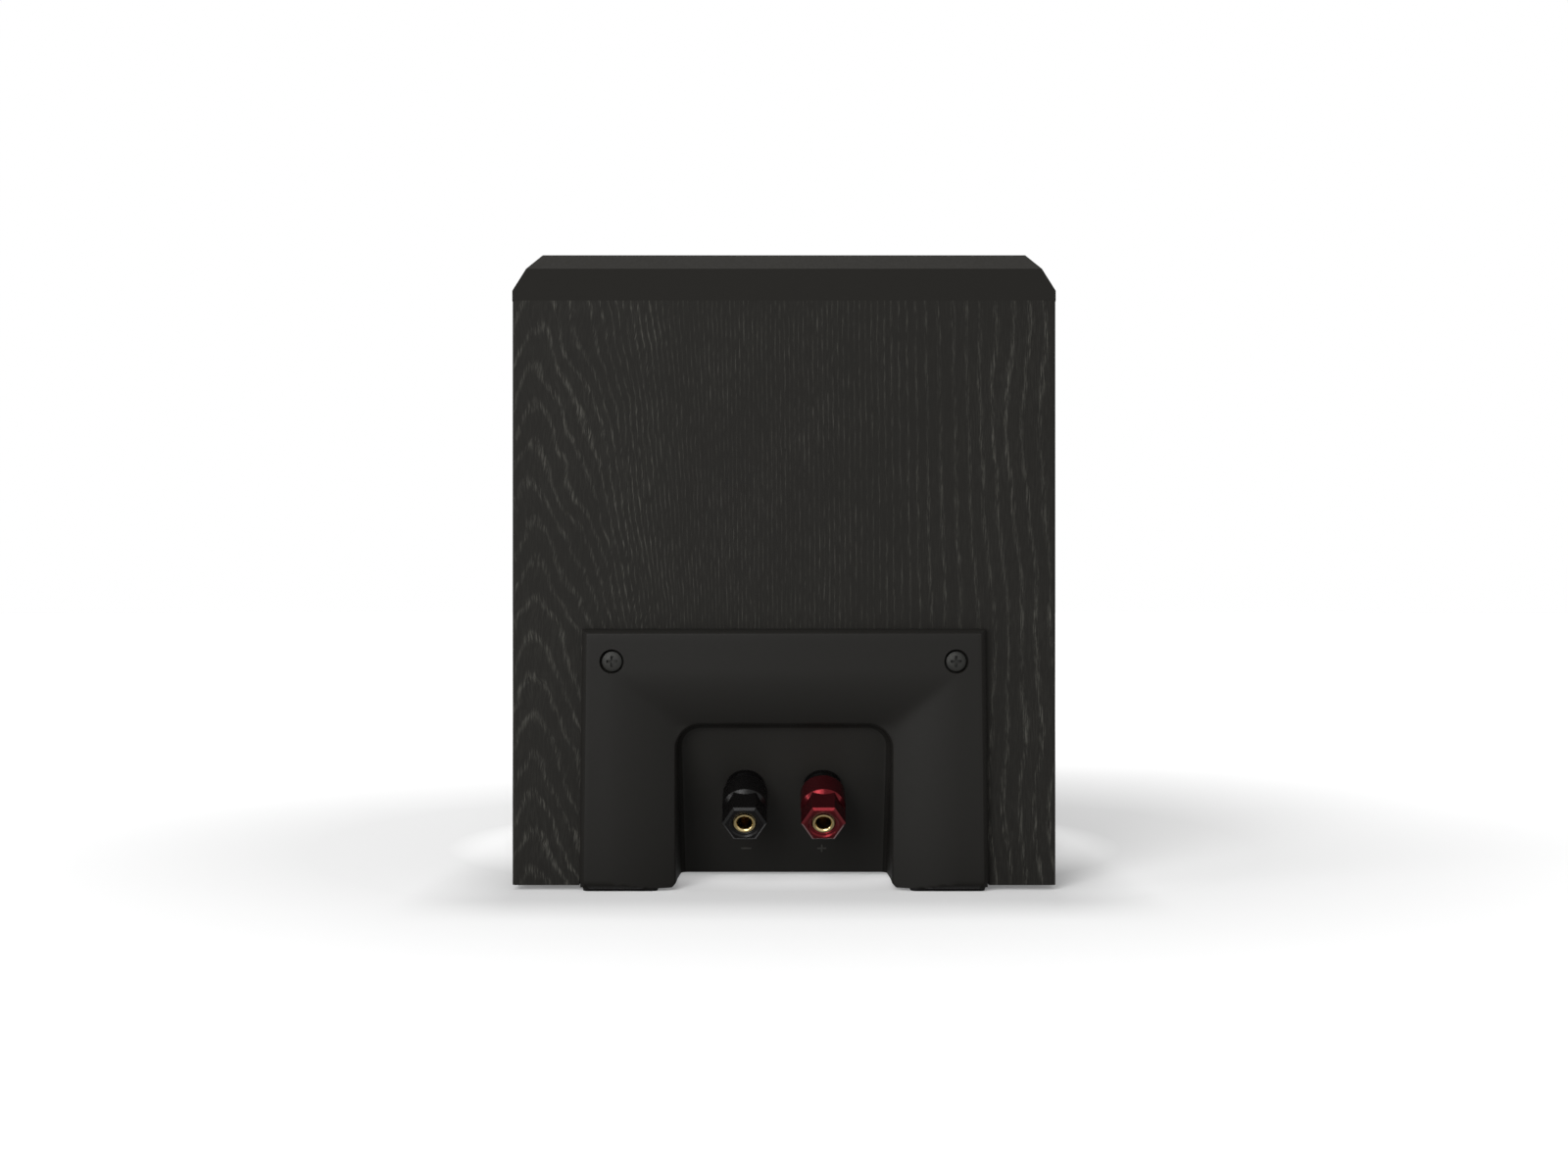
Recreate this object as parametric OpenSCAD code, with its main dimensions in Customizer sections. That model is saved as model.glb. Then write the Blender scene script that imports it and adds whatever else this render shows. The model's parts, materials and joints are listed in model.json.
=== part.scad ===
// Compact wedge loudspeaker: a wooden cabinet whose baffle slopes up towards the back.
// The wide cone driver sits at the high end and the square horn at the low end.
// A moulded terminal housing closes the foot of the rear panel and forms the rear legs.
// Frame: +Z up, rear panel towards +Y, origin on the ground under the middle of the object.

/* [Cabinet] */
// Outside width of the cabinet
body_w = 147.3; // [142:0.1:170]
// Depth of the wooden cabinet, front to rear
body_d = 216; // [210:1:240]
// Height of the rear panel, from the underside to the baffle joint
rear_h = 158.4; // [154:0.1:175]
// Slope of the baffle in degrees
slope = 20; // [18:0.5:21]
// Thickness of the cabinet panels
wall = 12; // [10:0.5:13]
// Radius of the wrapped upright edges
edge_r = 1; // [0.5:0.25:2]
// Height that the feet lift the cabinet off the ground
foot_h = 1.5; // [1.2:0.1:2.5]
// Radius of a front foot
foot_r = 9; // [6:0.5:12]
// Distance of the front feet from the front and the sides
foot_inset = 6; // [3:0.5:15]

/* [Baffle] */
// Thickness of the baffle slab
baffle_t = 14; // [13:0.5:18]
// Straight land under the side chamfers
side_land = 2.5; // [1:0.1:5]
// Width that the side chamfers take off the face
side_run = 7.7; // [4:0.1:7.8]
// Width that the rear chamfer takes off the face
rear_run = 5.3; // [1:0.1:6]
// Depth of the rear chamfer
rear_drop = 5.9; // [3:0.1:9]
// Flat margin between the driver rings and the rear chamfer
ring_margin = 3.6; // [3:0.1:8]
// Flat margin between the woofer ring and the horn flange
driver_gap = 4; // [2:0.5:8]

/* [Woofer] */
// Radius of the soft trim ring
trim_r = 58; // [57.5:0.5:60]
// Radius of the basket flange
flange_r = 55; // [54:0.5:56]
// Thickness of the basket flange
flange_t = 2.5; // [2:0.1:3]
// Depth of the rebate that takes the woofer flange
woofer_rebate = 5; // [4.5:0.1:6]
// Thickness of the foam gaskets
gasket_t = 1; // [0.5:0.1:1.2]
// Outside radius of the basket's straight wall
basket_r = 45.5; // [45:0.1:46]
// Sheet thickness of the basket
basket_wall = 2; // [1.5:0.1:2.2]
// Depth of the basket below the flange's top
basket_depth = 34.5; // [33:0.5:36]
// Radius of the basket's floor
basket_floor_r = 33; // [32:0.5:35]
// Radius of the cone at the surround
cone_r = 36.5; // [35:0.5:37.5]
// Radius of the half roll of the surround
roll_r = 3.75; // [3:0.25:4]
// Radius of the voice coil former
former_r = 12.7; // [12:0.1:13]
// Radius of the dust cap
cap_r = 14.5; // [14:0.5:17]
// Radius of the magnet ring
magnet_r = 29; // [27:0.5:30]
// Thickness of the magnet ring
magnet_t = 12; // [10:0.5:13]
// Thickness of the front pole plate and of the back plate
pole_t = 5; // [4:0.5:6]
// Travel of the cone, each way
cone_travel = 3; // [2:0.5:3.5]

/* [Horn] */
// Side of the square horn flange
horn_w = 90; // [86:1:94]
// Thickness of the horn flange
horn_flange_t = 3; // [2.5:0.1:3.5]
// Width of the flat rim between the horn's mouth and its edge
horn_land = 6; // [5:0.5:8]
// Corner radius of the horn mouth
mouth_corner = 18; // [12:1:24]
// Radius of the round throat
throat_r = 12.7; // [12:0.1:13.5]
// Wall of the horn
horn_wall = 2.5; // [2:0.1:3]
// Radius of the tweeter motor
motor_r = 25; // [24:0.5:27]

/* [Terminal housing] */
// Half width of the housing at its foot
plate_half = 55.2; // [52:0.1:58]
// How much each side leans in towards the top
plate_lean = 0.8; // [0:0.1:2]
// Height of the housing's top edge above the ground
plate_top = 71; // [66:0.5:80]
// Height of the housing's underside above the ground
plate_bottom = 0.9; // [0.5:0.1:1.1]
// How far the housing stands proud of the rear panel
plate_proud = 4; // [3.5:0.1:6]
// Bevel round the housing's face
plate_bevel = 1.2; // [0.5:0.1:1.6]
// Half width of the recess for the binding posts
recess_half = 29.3; // [27:0.1:31]
// Height of the recess above the ground
recess_top = 45; // [43:0.5:47]
// Corner radius of the recess
recess_r = 6.6; // [4:0.1:9]
// Width of the flare beside the recess
flare_side = 19; // [12:0.5:20]
// Height of the flare above the recess
flare_top = 15; // [10:0.5:16]
// Wall of the moulding
shell_t = 2.5; // [2:0.1:3]
// Thickness of the terminal panel inside the recess
panel_t = 3; // [2.5:0.1:4]
// Angle by which the posts point down, in degrees
post_tilt = 30; // [27:1:33]
// How far the housing reaches under the cabinet
tongue_l = 45; // [42:1:60]
// Thickness of the tongue under the cabinet
tongue_t = 2.6; // [2.2:0.1:3]

/* [Binding posts] */
// Distance between the two posts
post_pitch = 21.4; // [19:0.1:24]
// Distance of a post's foot in from the rear panel
post_inset = 14.5; // [14:0.1:17]
// Height of a post's foot above the ground
post_z = 27; // [25:0.5:30]
// Length of a post from the terminal panel
post_l = 18; // [17:0.5:19]
// Radius of the gilt stud
stud_r = 3.3; // [3.1:0.1:3.6]
// Radius of the 4 mm socket
socket_r = 2; // [2:0.01:2.05]
// Depth of the socket
socket_l = 11.4; // [9:0.1:11.6]
// Radius of the nut's round part
nut_r = 6.2; // [5.8:0.1:6.8]
// Size of the hexagon across its corners
hex_corners = 12.1; // [11:0.1:12.3]
// Length of the hexagon
hex_l = 8; // [6:0.5:9]
// Height of the collar
collar_h = 2; // [1.5:0.1:2.2]
// Thickness of the clamp washer
clamp_t = 1.1; // [0.8:0.1:1.3]
// Running clearance of a turning or sliding fit, on the radius
run_gap = 0.05; // [0.02:0.01:0.09]
// Clearance where a moving face stops against another
stop_gap = 0.1; // [0.05:0.05:0.2]

/* [Fasteners] */
// Radius of the housing screws' shanks
screw_r = 1.6; // [1.2:0.1:2]
// Radius of the housing screws' heads
screw_head_r = 2.65; // [2.4:0.05:3]
// Length of the housing screws
screw_l = 12; // [8:0.5:13]
// Distance of the housing screws from its top edge
screw_drop = 8.8; // [8:0.1:10]
// Distance of the housing screws from its sides
screw_side = 8.8; // [7:0.1:10]

/* [Crossover] */
// Width of the crossover board
board_w = 60; // [54:1:70]
// Length of the crossover board
board_l = 72; // [68:1:80]
// Thickness of the crossover board
board_t = 1.6; // [1:0.2:2.4]
// Height of its standoffs
standoff_h = 6; // [4:0.5:10]
// Diameter of the wires
wire_d = 2; // [1.4:0.1:2.4]
// Thickness of the wadding on the side walls
pad_t = 13; // [8:1:15]

/* [Hidden] */
$fn = 64;

// Cabinet planes
front_y = -(body_d + plate_proud) / 2;
rear_y = front_y + body_d;
face_y = rear_y + plate_proud;
floor_z = foot_h + wall;
seam_z = foot_h + rear_h;
seam_front_z = seam_z - body_d * tan(slope);
over = 1;
half_slope = body_d / 2 / cos(slope);
mid_y = (front_y + rear_y) / 2;
mid_z = (seam_z + seam_front_z) / 2;

// Driver places along the slope
flat_rear_v = half_slope + baffle_t * tan(slope) - rear_run;
woofer_v = flat_rear_v - ring_margin - trim_r;
horn_v = woofer_v - trim_r - driver_gap - horn_w / 2;
fit_gap = 0.3;

// Woofer levels, measured from the underside of the baffle
rebate_w = baffle_t - woofer_rebate;
flange_w = rebate_w + gasket_t;
flange_top_w = flange_w + flange_t;
basket_floor_w = flange_top_w - basket_depth;
woofer_cut_r = basket_r + 1;
basket_straight_w = -4;
basket_floor_t = 2;
spider_w = basket_floor_w + 10;
spider_seat_t = 1.5;
spider_r = basket_floor_r - 1.6;
gap_plate_w = basket_floor_w - pole_t;
magnet_w = gap_plate_w - magnet_t;
back_plate_w = magnet_w - pole_t;
former_t = 0.4;
coil_t = 0.5;
coil_gap = 0.5;
coil_l = pole_t + 4;
coil_w = basket_floor_w - pole_t / 2 - coil_l / 2;
pole_r = former_r - former_t - coil_gap;
plate_bore_r = former_r + coil_t + coil_gap;
cone_t = 0.7;
neck_w = flange_top_w - 19;
surround_t = 0.8;
surround_r = cone_r + 2 * roll_r;
surround_land = 2.6;
cone_land = 2;
woofer_screw_r = (flange_r + basket_r) / 2 + 0.8;
trim_in_r = surround_r + surround_land + fit_gap;

// Horn levels
mouth_half = horn_w / 2 - horn_land;
horn_under_w = baffle_t - horn_flange_t;
horn_rebate_w = horn_under_w - gasket_t;
throat_depth = tractrix(throat_r);
throat_w = baffle_t - throat_depth;
horn_back_t = 3;
horn_back_w = throat_w - 2;
spacer_t = 3.2;
motor_w = horn_back_w - spacer_t;
motor_plate_t = 3;
motor_magnet_t = 8;
motor_lip = 2;
dome_r = throat_r - 0.5;
dome_h = 4;
dome_t = 0.4;
dome_travel = 0.2;
dome_w = motor_w + 0.6;
plug_gap = 0.5;
plug_w = dome_w + dome_h + dome_travel + plug_gap;
plug_t = 1.2;
plug_r = 3.2;
horn_cut_half = mouth_half - 2;
horn_screw_at = horn_w / 2 - 5;

// Housing levels and fits
panel_y = rear_y - post_inset;
tongue_top_z = plate_bottom + tongue_t;
rim_half = recess_half + 9;
rim_top = recess_top + 8;
rim_deep = 5;
tongue_y = rear_y - tongue_l;
pad_depth = 0.8;
gasket_groove = 1.2;
gasket_band = 2.5;
gasket_half = rim_half + 1;
gasket_top = rim_top + 1;
flare_deep = plate_proud;
screw_sink = 2.2;
pilot_extra = 0.5;

// Post levels, measured from the terminal panel's face
clamp_z = collar_h + stop_gap;
nut_z = clamp_z + clamp_t + stop_gap;
hex_z = post_l - hex_l;
hex_bevel = 0.4;
nut_slope = 1.1;
face_groove = 0.27;
socket_lead = 0.55;
stud_top = post_l - 0.3;
tail_r = 2;
wire_hole_r = 1.2;
inner_washer_t = 1;
tab_t = 0.8;
inner_nut_t = 3.2;

// Crossover places
board_z = floor_z + standoff_h;
board_y = -48;
standoff_r = 3;
standoff_bore_r = 1.25;
standoff_inset = 4;
coil_r = 13;
coil_h = 14;
can_r = 5;
cap_l = 18;
box_w = 8;
box_h = 12;
resistor_t = 7;
resistor_l = 18;

// Wadding
wad_l = 100;
wad_h = 40;
wad_rise = 25;

// ---------- general helpers ----------

// Depth of the horn below its mouth at a half width r: the tractrix curve
function tractrix(r) = mouth_half * ln((mouth_half + sqrt(mouth_half ^ 2 - r ^ 2)) / r)
    - sqrt(mouth_half ^ 2 - r ^ 2);

// Extrudes a side outline (y, z) across the width, centred
module across(width) {
    rotate([90, 0, 90])
        translate([0, 0, -width / 2])
            linear_extrude(width) children();
}

// Extrudes an outline (x, z) along the depth from y0 to y1
module along(y0, y1) {
    translate([0, y1, 0])
        rotate([90, 0, 0])
            linear_extrude(y1 - y0) children();
}

// Places its children in the frame of the sloping joint: z is the baffle's normal
module on_slope() {
    translate([0, mid_y, mid_z]) rotate([slope, 0, 0]) children();
}

module at_woofer() {
    on_slope() translate([0, woofer_v, 0]) children();
}

module at_horn() {
    on_slope() translate([0, horn_v, 0]) children();
}

// Places its children at a binding post: z points out along the post
module at_post(side) {
    translate([side * post_pitch / 2, panel_y, post_z])
        rotate([-90 - post_tilt, 0, 0]) children();
}

module at_posts() {
    for (side = [-1, 1]) at_post(side) children();
}

// A point in the slope frame, and a point in a post's frame, as object coordinates
function slope_pt(x, v, w) = [
    x,
    mid_y + v * cos(slope) - w * sin(slope),
    mid_z + v * sin(slope) + w * cos(slope)
];
function post_pt(side, up, out) = [
    side * post_pitch / 2,
    panel_y + up * sin(post_tilt) + out * cos(post_tilt),
    post_z + up * cos(post_tilt) - out * sin(post_tilt)
];

module ring(r_out, r_in, z0, z1) {
    translate([0, 0, z0])
        difference() {
            cylinder(r = r_out, h = z1 - z0);
            translate([0, 0, -over]) cylinder(r = r_in, h = z1 - z0 + 2 * over);
        }
}

module rounded_rect(w, d, r) {
    square([w - 2 * r, d], center = true);
    square([w, d - 2 * r], center = true);
    for (x = [-1, 1], y = [-1, 1])
        translate([x * (w / 2 - r), y * (d / 2 - r)]) circle(r);
}

// A pan-head screw: the head's seat is at z = 0 and the shank points down
module pan_screw(shank_r, head_r, len) {
    head_h = head_r * 0.75;
    difference() {
        rotate_extrude()
            polygon([
                [0, -len], [shank_r, 1.6 * shank_r - len], [shank_r, 0], [head_r, 0],
                [head_r, head_h * 0.45], [head_r * 0.7, head_h], [0, head_h]
            ]);
        for (turn = [0, 90])
            rotate(turn)
                translate([-head_r * 0.55, -head_r * 0.13, head_h * 0.45])
                    cube([head_r * 1.1, head_r * 0.26, head_h]);
    }
}

// A countersunk screw: the head's top is at z = 0
module flat_screw(shank_r, head_r, len) {
    head_h = head_r - shank_r;
    difference() {
        rotate_extrude()
            polygon([
                [0, -len], [shank_r, 1.6 * shank_r - len], [shank_r, -head_h], [head_r, 0], [0, 0]
            ]);
        for (turn = [0, 90])
            rotate(turn)
                translate([-head_r * 0.55, -head_r * 0.13, -head_h * 0.7])
                    cube([head_r * 1.1, head_r * 0.26, head_h]);
    }
}

// The hole that a countersunk screw needs, with clearance
module flat_screw_hole(shank_r, head_r, len) {
    translate([0, 0, -len]) cylinder(r = shank_r + run_gap, h = len);
    translate([0, 0, shank_r - head_r])
        cylinder(r1 = shank_r + run_gap, r2 = head_r + run_gap, h = head_r - shank_r + 0.001);
}

// A closed solid lofted through rings of equal point count, joined in a loop
module ring_loop(rings) {
    n = len(rings[0]);
    m = len(rings);
    polyhedron(
        points = [for (r = rings) each r],
        faces = [
            for (k = [0:m - 1], i = [0:n - 1])
                let (
                    a = k * n + i,
                    b = k * n + (i + 1) % n,
                    c = ((k + 1) % m) * n + (i + 1) % n,
                    d = ((k + 1) % m) * n + i
                )
                each [[a, b, c], [a, c, d]]
        ]
    );
}

// ---------- cabinet ----------

module side_outline() {
    polygon([
        [front_y, foot_h], [rear_y, foot_h], [rear_y, seam_z], [front_y, seam_front_z]
    ]);
}

// The whole wedge with its wrapped upright edges
module cabinet_envelope() {
    intersection() {
        across(body_w) side_outline();
        translate([0, mid_y, foot_h])
            linear_extrude(rear_h) rounded_rect(body_w, body_d, edge_r);
    }
}

// Mitred region of one side panel
module side_region(side) {
    mirror([side > 0 ? 0 : 1, 0, 0])
        intersection() {
            translate([0, 0, foot_h - over])
                linear_extrude(rear_h + 2 * over)
                    polygon([
                        [body_w / 2 + over, front_y - over], [body_w / 2 + over, rear_y + over],
                        [body_w / 2 - wall, rear_y - wall], [body_w / 2 - wall, front_y + wall]
                    ]);
            along(front_y - over, rear_y + over)
                polygon([
                    [body_w / 2 + over, foot_h - over], [body_w / 2 + over, seam_z + over],
                    [body_w / 2 - wall, seam_z + over], [body_w / 2 - wall, floor_z]
                ]);
        }
}

// Mitred region of the rear (end = 1) or the front panel (end = -1)
module end_region(end) {
    outer_y = end > 0 ? rear_y + over : front_y - over;
    inner_y = end > 0 ? rear_y - wall : front_y + wall;
    intersection() {
        translate([0, 0, foot_h - over])
            linear_extrude(rear_h + 2 * over)
                polygon([
                    [-body_w / 2 - over, outer_y], [body_w / 2 + over, outer_y],
                    [body_w / 2 - wall, inner_y], [wall - body_w / 2, inner_y]
                ]);
        across(body_w + 2 * over)
            polygon([
                [outer_y, foot_h - over], [outer_y, seam_z + over],
                [inner_y, seam_z + over], [inner_y, floor_z]
            ]);
    }
}

module bottom_region() {
    intersection() {
        along(front_y - over, rear_y + over)
            polygon([
                [-body_w / 2 - over, foot_h - over], [body_w / 2 + over, foot_h - over],
                [body_w / 2 - wall, floor_z], [wall - body_w / 2, floor_z]
            ]);
        across(body_w + 2 * over)
            polygon([
                [front_y - over, foot_h - over], [rear_y + over, foot_h - over],
                [rear_y - wall, floor_z], [front_y + wall, floor_z]
            ]);
    }
}

// What the terminal housing takes out of the rear and bottom panels
module housing_pocket() {
    translate([-rim_half - fit_gap, rear_y - wall - over, 0])
        cube([2 * (rim_half + fit_gap), wall + 2 * over, rim_top + fit_gap]);
    shell_half = recess_half + shell_t + fit_gap;
    shell_y = shell_back_y(plate_bottom) - fit_gap;
    translate([-shell_half, shell_y, 0])
        cube([2 * shell_half, rear_y + over - shell_y, floor_z + over]);
    translate([-plate_half - fit_gap, tongue_y - fit_gap, 0])
        cube([2 * (plate_half + fit_gap), tongue_l + 2 * over, tongue_top_z]);
}

module rear_pilot_holes() {
    deep = screw_l + screw_sink - plate_proud + pilot_extra;
    for (x = [-1, 1])
        translate([x * rear_screw_x(), rear_y - deep, plate_top - screw_drop])
            rotate([-90, 0, 0]) cylinder(r = screw_r + run_gap, h = deep + over);
}

module under_pilot_holes() {
    for (x = [-1, 1])
        translate([x * under_screw_x, under_screw_y, plate_bottom])
            cylinder(r = screw_r + run_gap, h = under_screw_l + pilot_extra);
}

module wood() {
    color([0.17, 0.17, 0.16]) children();
}

module left_side_panel() {
    wood() intersection() {
        cabinet_envelope();
        side_region(1);
    }
}

module right_side_panel() {
    wood() intersection() {
        cabinet_envelope();
        side_region(-1);
    }
}

module bottom_panel() {
    wood() difference() {
        intersection() {
            cabinet_envelope();
            bottom_region();
        }
        housing_pocket();
        under_pilot_holes();
    }
}

module rear_panel() {
    wood() difference() {
        intersection() {
            cabinet_envelope();
            end_region(1);
        }
        housing_pocket();
        rear_pilot_holes();
    }
}

module front_panel() {
    wood() intersection() {
        cabinet_envelope();
        end_region(-1);
    }
}

// The baffle slab: side outline and cross outline, both chamfered
module baffle_blank() {
    lean = tan(slope);
    side_drop = baffle_t - side_land;
    on_slope() intersection() {
        across(body_w)
            polygon([
                [-half_slope, 0], [half_slope, 0],
                [half_slope + (baffle_t - rear_drop) * lean, baffle_t - rear_drop],
                [half_slope + baffle_t * lean - rear_run, baffle_t],
                [side_run + baffle_t * lean - half_slope, baffle_t],
                [(baffle_t - side_drop) * lean - half_slope, baffle_t - side_drop]
            ]);
        along(-body_d, body_d)
            polygon([
                [-body_w / 2, 0], [body_w / 2, 0], [body_w / 2, side_land],
                [body_w / 2 - side_run, baffle_t], [side_run - body_w / 2, baffle_t],
                [-body_w / 2, side_land]
            ]);
    }
}

module baffle() {
    color([0.12, 0.12, 0.12]) difference() {
        baffle_blank();
        at_woofer() {
            translate([0, 0, -over]) cylinder(r = woofer_cut_r, h = baffle_t + 2 * over, $fn = 96);
            translate([0, 0, rebate_w]) cylinder(r = trim_r + fit_gap, h = baffle_t, $fn = 96);
            for (a = [45:90:315])
                rotate(a) translate([woofer_screw_r, 0, rebate_w - 8])
                    cylinder(r = 1.5 + run_gap, h = 9);
        }
        at_horn() {
            translate([0, 0, -over])
                linear_extrude(baffle_t + 2 * over)
                    rounded_rect(2 * horn_cut_half, 2 * horn_cut_half, mouth_corner);
            translate([0, 0, horn_rebate_w])
                linear_extrude(baffle_t)
                    rounded_rect(horn_w + 2 * fit_gap, horn_w + 2 * fit_gap, 8 + fit_gap);
            for (x = [-1, 1], y = [-1, 1])
                translate([x * horn_screw_at, y * horn_screw_at, horn_rebate_w - 8])
                    cylinder(r = 1.4 + run_gap, h = 9);
        }
    }
}

// Wadding on both side walls
module wadding_pads() {
    color([0.75, 0.74, 0.7])
        for (side = [-1, 1])
            translate([side * (body_w / 2 - wall - pad_t / 2), 0, floor_z + wad_rise])
                rotate([90, 0, 90])
                    translate([0, 0, -pad_t / 2])
                        linear_extrude(pad_t) rounded_rect(wad_l, wad_h, 8);
}

module front_feet() {
    color([0.08, 0.08, 0.08])
        for (x = [-1, 1])
            translate([
                x * (body_w / 2 - foot_inset - foot_r), front_y + foot_inset + foot_r, 0
            ])
                rotate_extrude()
                    polygon([[0, 0], [foot_r - 0.4, 0], [foot_r, 0.4], [foot_r, foot_h], [0, foot_h]]);
}

// ---------- terminal housing ----------

// The terminal panel's face and back as y over z
function panel_face_y(z) = panel_y + (z - post_z) * tan(post_tilt);
function shell_back_y(z) = panel_face_y(z) - panel_t / cos(post_tilt);
function rear_screw_x() = plate_half - screw_side;
under_screw_x = recess_half - 8;
under_screw_y = tongue_y + 6;
under_screw_l = 10;

module plate_outline(inset) {
    polygon([
        [1 + inset - plate_half, plate_bottom + inset], [plate_half - 1 - inset, plate_bottom + inset],
        [plate_half - inset, plate_bottom + 1.9 + inset / 2],
        [plate_half - plate_lean - inset, plate_top - inset],
        [plate_lean + inset - plate_half, plate_top - inset],
        [inset - plate_half, plate_bottom + 1.9 + inset / 2]
    ]);
}

// Recess opening: round top corners, open at the foot
module recess_outline(grow) {
    half = recess_half + grow;
    top = recess_top + grow;
    r = recess_r + grow;
    translate([-half, -over]) square([2 * half, top - r + over]);
    translate([r - half, -over]) square([2 * (half - r), top + over]);
    for (x = [-1, 1]) translate([x * (half - r), top - r]) circle(r);
}

// Air behind the flare: a trumpet arc that leaves the face tangentially
module flare_profile(from, run) {
    r = (run ^ 2 + flare_deep ^ 2) / 2 / flare_deep;
    difference() {
        translate([0, rear_y]) square([from + run, flare_deep + over]);
        translate([from + run, face_y - r]) circle(r, $fn = 180);
    }
}

// Side and top flares meet in a mitred valley
module flare_cut() {
    intersection() {
        translate([0, 0, -over])
            linear_extrude(plate_top + over) {
                flare_profile(recess_half, flare_side);
                mirror([1, 0]) flare_profile(recess_half, flare_side);
            }
        across(2 * plate_half)
            mirror([1, -1]) {
                flare_profile(recess_top, flare_top);
                translate([-over, rear_y]) square([over * 2, flare_deep + over]);
            }
    }
}

module housing_solid() {
    // Plate with its bevel
    hull() {
        along(rear_y, face_y - plate_bevel) plate_outline(0);
        along(rear_y, face_y) plate_outline(plate_bevel);
    }
    // Rim that centres the moulding in the rear panel
    translate([-rim_half, rear_y - rim_deep, plate_bottom])
        cube([2 * rim_half, rim_deep + over, rim_top - plate_bottom]);
    // Box round the recess, cut off behind the tilted terminal panel
    intersection() {
        along(0, rear_y) recess_outline(shell_t);
        across(body_w)
            polygon([
                [rear_y, plate_bottom], [shell_back_y(plate_bottom), plate_bottom],
                [shell_back_y(plate_top), plate_top], [rear_y, plate_top]
            ]);
    }
    // Tongue under the cabinet
    translate([-plate_half, tongue_y, plate_bottom])
        cube([2 * plate_half, tongue_l + over, tongue_t]);
}

module recess_cut() {
    intersection() {
        along(0, face_y + over) recess_outline(0);
        across(body_w)
            polygon([
                [face_y + over, -over], [panel_face_y(-over), -over],
                [panel_face_y(plate_top), plate_top], [face_y + over, plate_top]
            ]);
    }
}

module gasket_outline(grow) {
    half = gasket_half + gasket_band + grow;
    top = gasket_top + gasket_band + grow;
    difference() {
        translate([-half, tongue_top_z]) square([2 * half, top - tongue_top_z]);
        translate([grow - gasket_half, 0])
            square([2 * (gasket_half - grow), gasket_top - grow]);
    }
}

module foot_pad_outline(grow) {
    in_x = recess_half + 5;
    out_x = plate_half - 0.7;
    for (x = [-1, 1])
        translate([x * (in_x + out_x) / 2, (tongue_y + 3 + face_y - 3) / 2])
            rounded_rect(out_x - in_x + 2 * grow, face_y - tongue_y - 6 + 2 * grow, 2);
}

module terminal_housing() {
    color([0.15, 0.15, 0.14]) difference() {
        housing_solid();
        flare_cut();
        recess_cut();
        // Leg corners eased at the foot of the recess
        for (x = [-1, 1])
            translate([x * recess_half, 0, plate_bottom]) rotate([0, 45, 0])
                cube([2, 4 * body_d, 2], center = true);
        along(rear_y - over, rear_y + gasket_groove) gasket_outline(0.1);
        translate([0, 0, plate_bottom - over])
            linear_extrude(pad_depth + over) foot_pad_outline(0.1);
        for (x = [-1, 1])
            translate([x * rear_screw_x(), 0, plate_top - screw_drop]) rotate([-90, 0, 0]) {
                cylinder(r = screw_r + run_gap, h = body_d);
                translate([0, 0, face_y - screw_sink]) cylinder(r = screw_head_r + 0.55, h = 4);
            }
        for (x = [-1, 1])
            translate([x * under_screw_x, under_screw_y, plate_bottom]) rotate([180, 0, 0])
                flat_screw_hole(screw_r, 3, tongue_t + over);
        at_posts() translate([0, 0, -panel_t - over])
            cylinder(r = tail_r + run_gap, h = panel_t + 2 * over);
    }
}

module terminal_gasket() {
    color([0.1, 0.1, 0.1]) along(rear_y, rear_y + gasket_groove) gasket_outline(0);
}

module rear_foot_pads() {
    color([0.08, 0.08, 0.08]) linear_extrude(plate_bottom + pad_depth) foot_pad_outline(0);
}

module rear_housing_screws() {
    color([0.2, 0.2, 0.2])
        for (x = [-1, 1])
            translate([x * rear_screw_x(), face_y - screw_sink, plate_top - screw_drop])
                rotate([-90, 0, 0]) pan_screw(screw_r, screw_head_r, screw_l);
}

module under_housing_screws() {
    color([0.2, 0.2, 0.2])
        for (x = [-1, 1])
            translate([x * under_screw_x, under_screw_y, plate_bottom])
                rotate([180, 0, 0]) flat_screw(screw_r, 3, under_screw_l);
}

// ---------- binding posts ----------

module gilt() {
    color([0.78, 0.62, 0.3]) children();
}

module post_stud(side) {
    gilt() at_post(side) difference() {
        union() {
            translate([0, 0, -panel_t - inner_washer_t - tab_t - inner_nut_t - 3])
                cylinder(r = tail_r, h = panel_t + inner_washer_t + tab_t + inner_nut_t + 4);
            cylinder(r = stud_r, h = stud_top);
        }
        translate([0, 0, stud_top - socket_l]) cylinder(r = socket_r, h = socket_l + over);
        translate([0, 0, stud_top - 2 * socket_lead])
            cylinder(r1 = socket_r - socket_lead, r2 = socket_r + 2 * socket_lead, h = 3 * socket_lead);
        ring(stud_r - face_groove, stud_r - 2 * face_groove, stud_top - face_groove, stud_top + over);
        translate([-nut_r, 0, nut_z + 1.4]) rotate([0, 90, 0])
            cylinder(r = wire_hole_r, h = 2 * nut_r);
    }
}

module black_post_stud() {
    post_stud(1);
}

module red_post_stud() {
    post_stud(-1);
}

// Insulating collar with a thin base ring
module post_collar(side) {
    at_post(side) rotate_extrude()
        polygon([
            [stud_r, 0], [5.4, 0], [5.4, 0.5], [4.8, 0.6], [4.8, collar_h - 0.3],
            [4.5, collar_h], [stud_r, collar_h]
        ]);
}

module black_post_collar() {
    color([0.07, 0.07, 0.07]) post_collar(1);
}

module red_post_collar() {
    color([0.07, 0.07, 0.07]) post_collar(-1);
}

module clamp_washer(side) {
    gilt() at_post(side) ring(4.6, stud_r + run_gap, clamp_z, clamp_z + clamp_t);
}

module black_clamp_washer() {
    clamp_washer(1);
}

module red_clamp_washer() {
    clamp_washer(-1);
}

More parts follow.
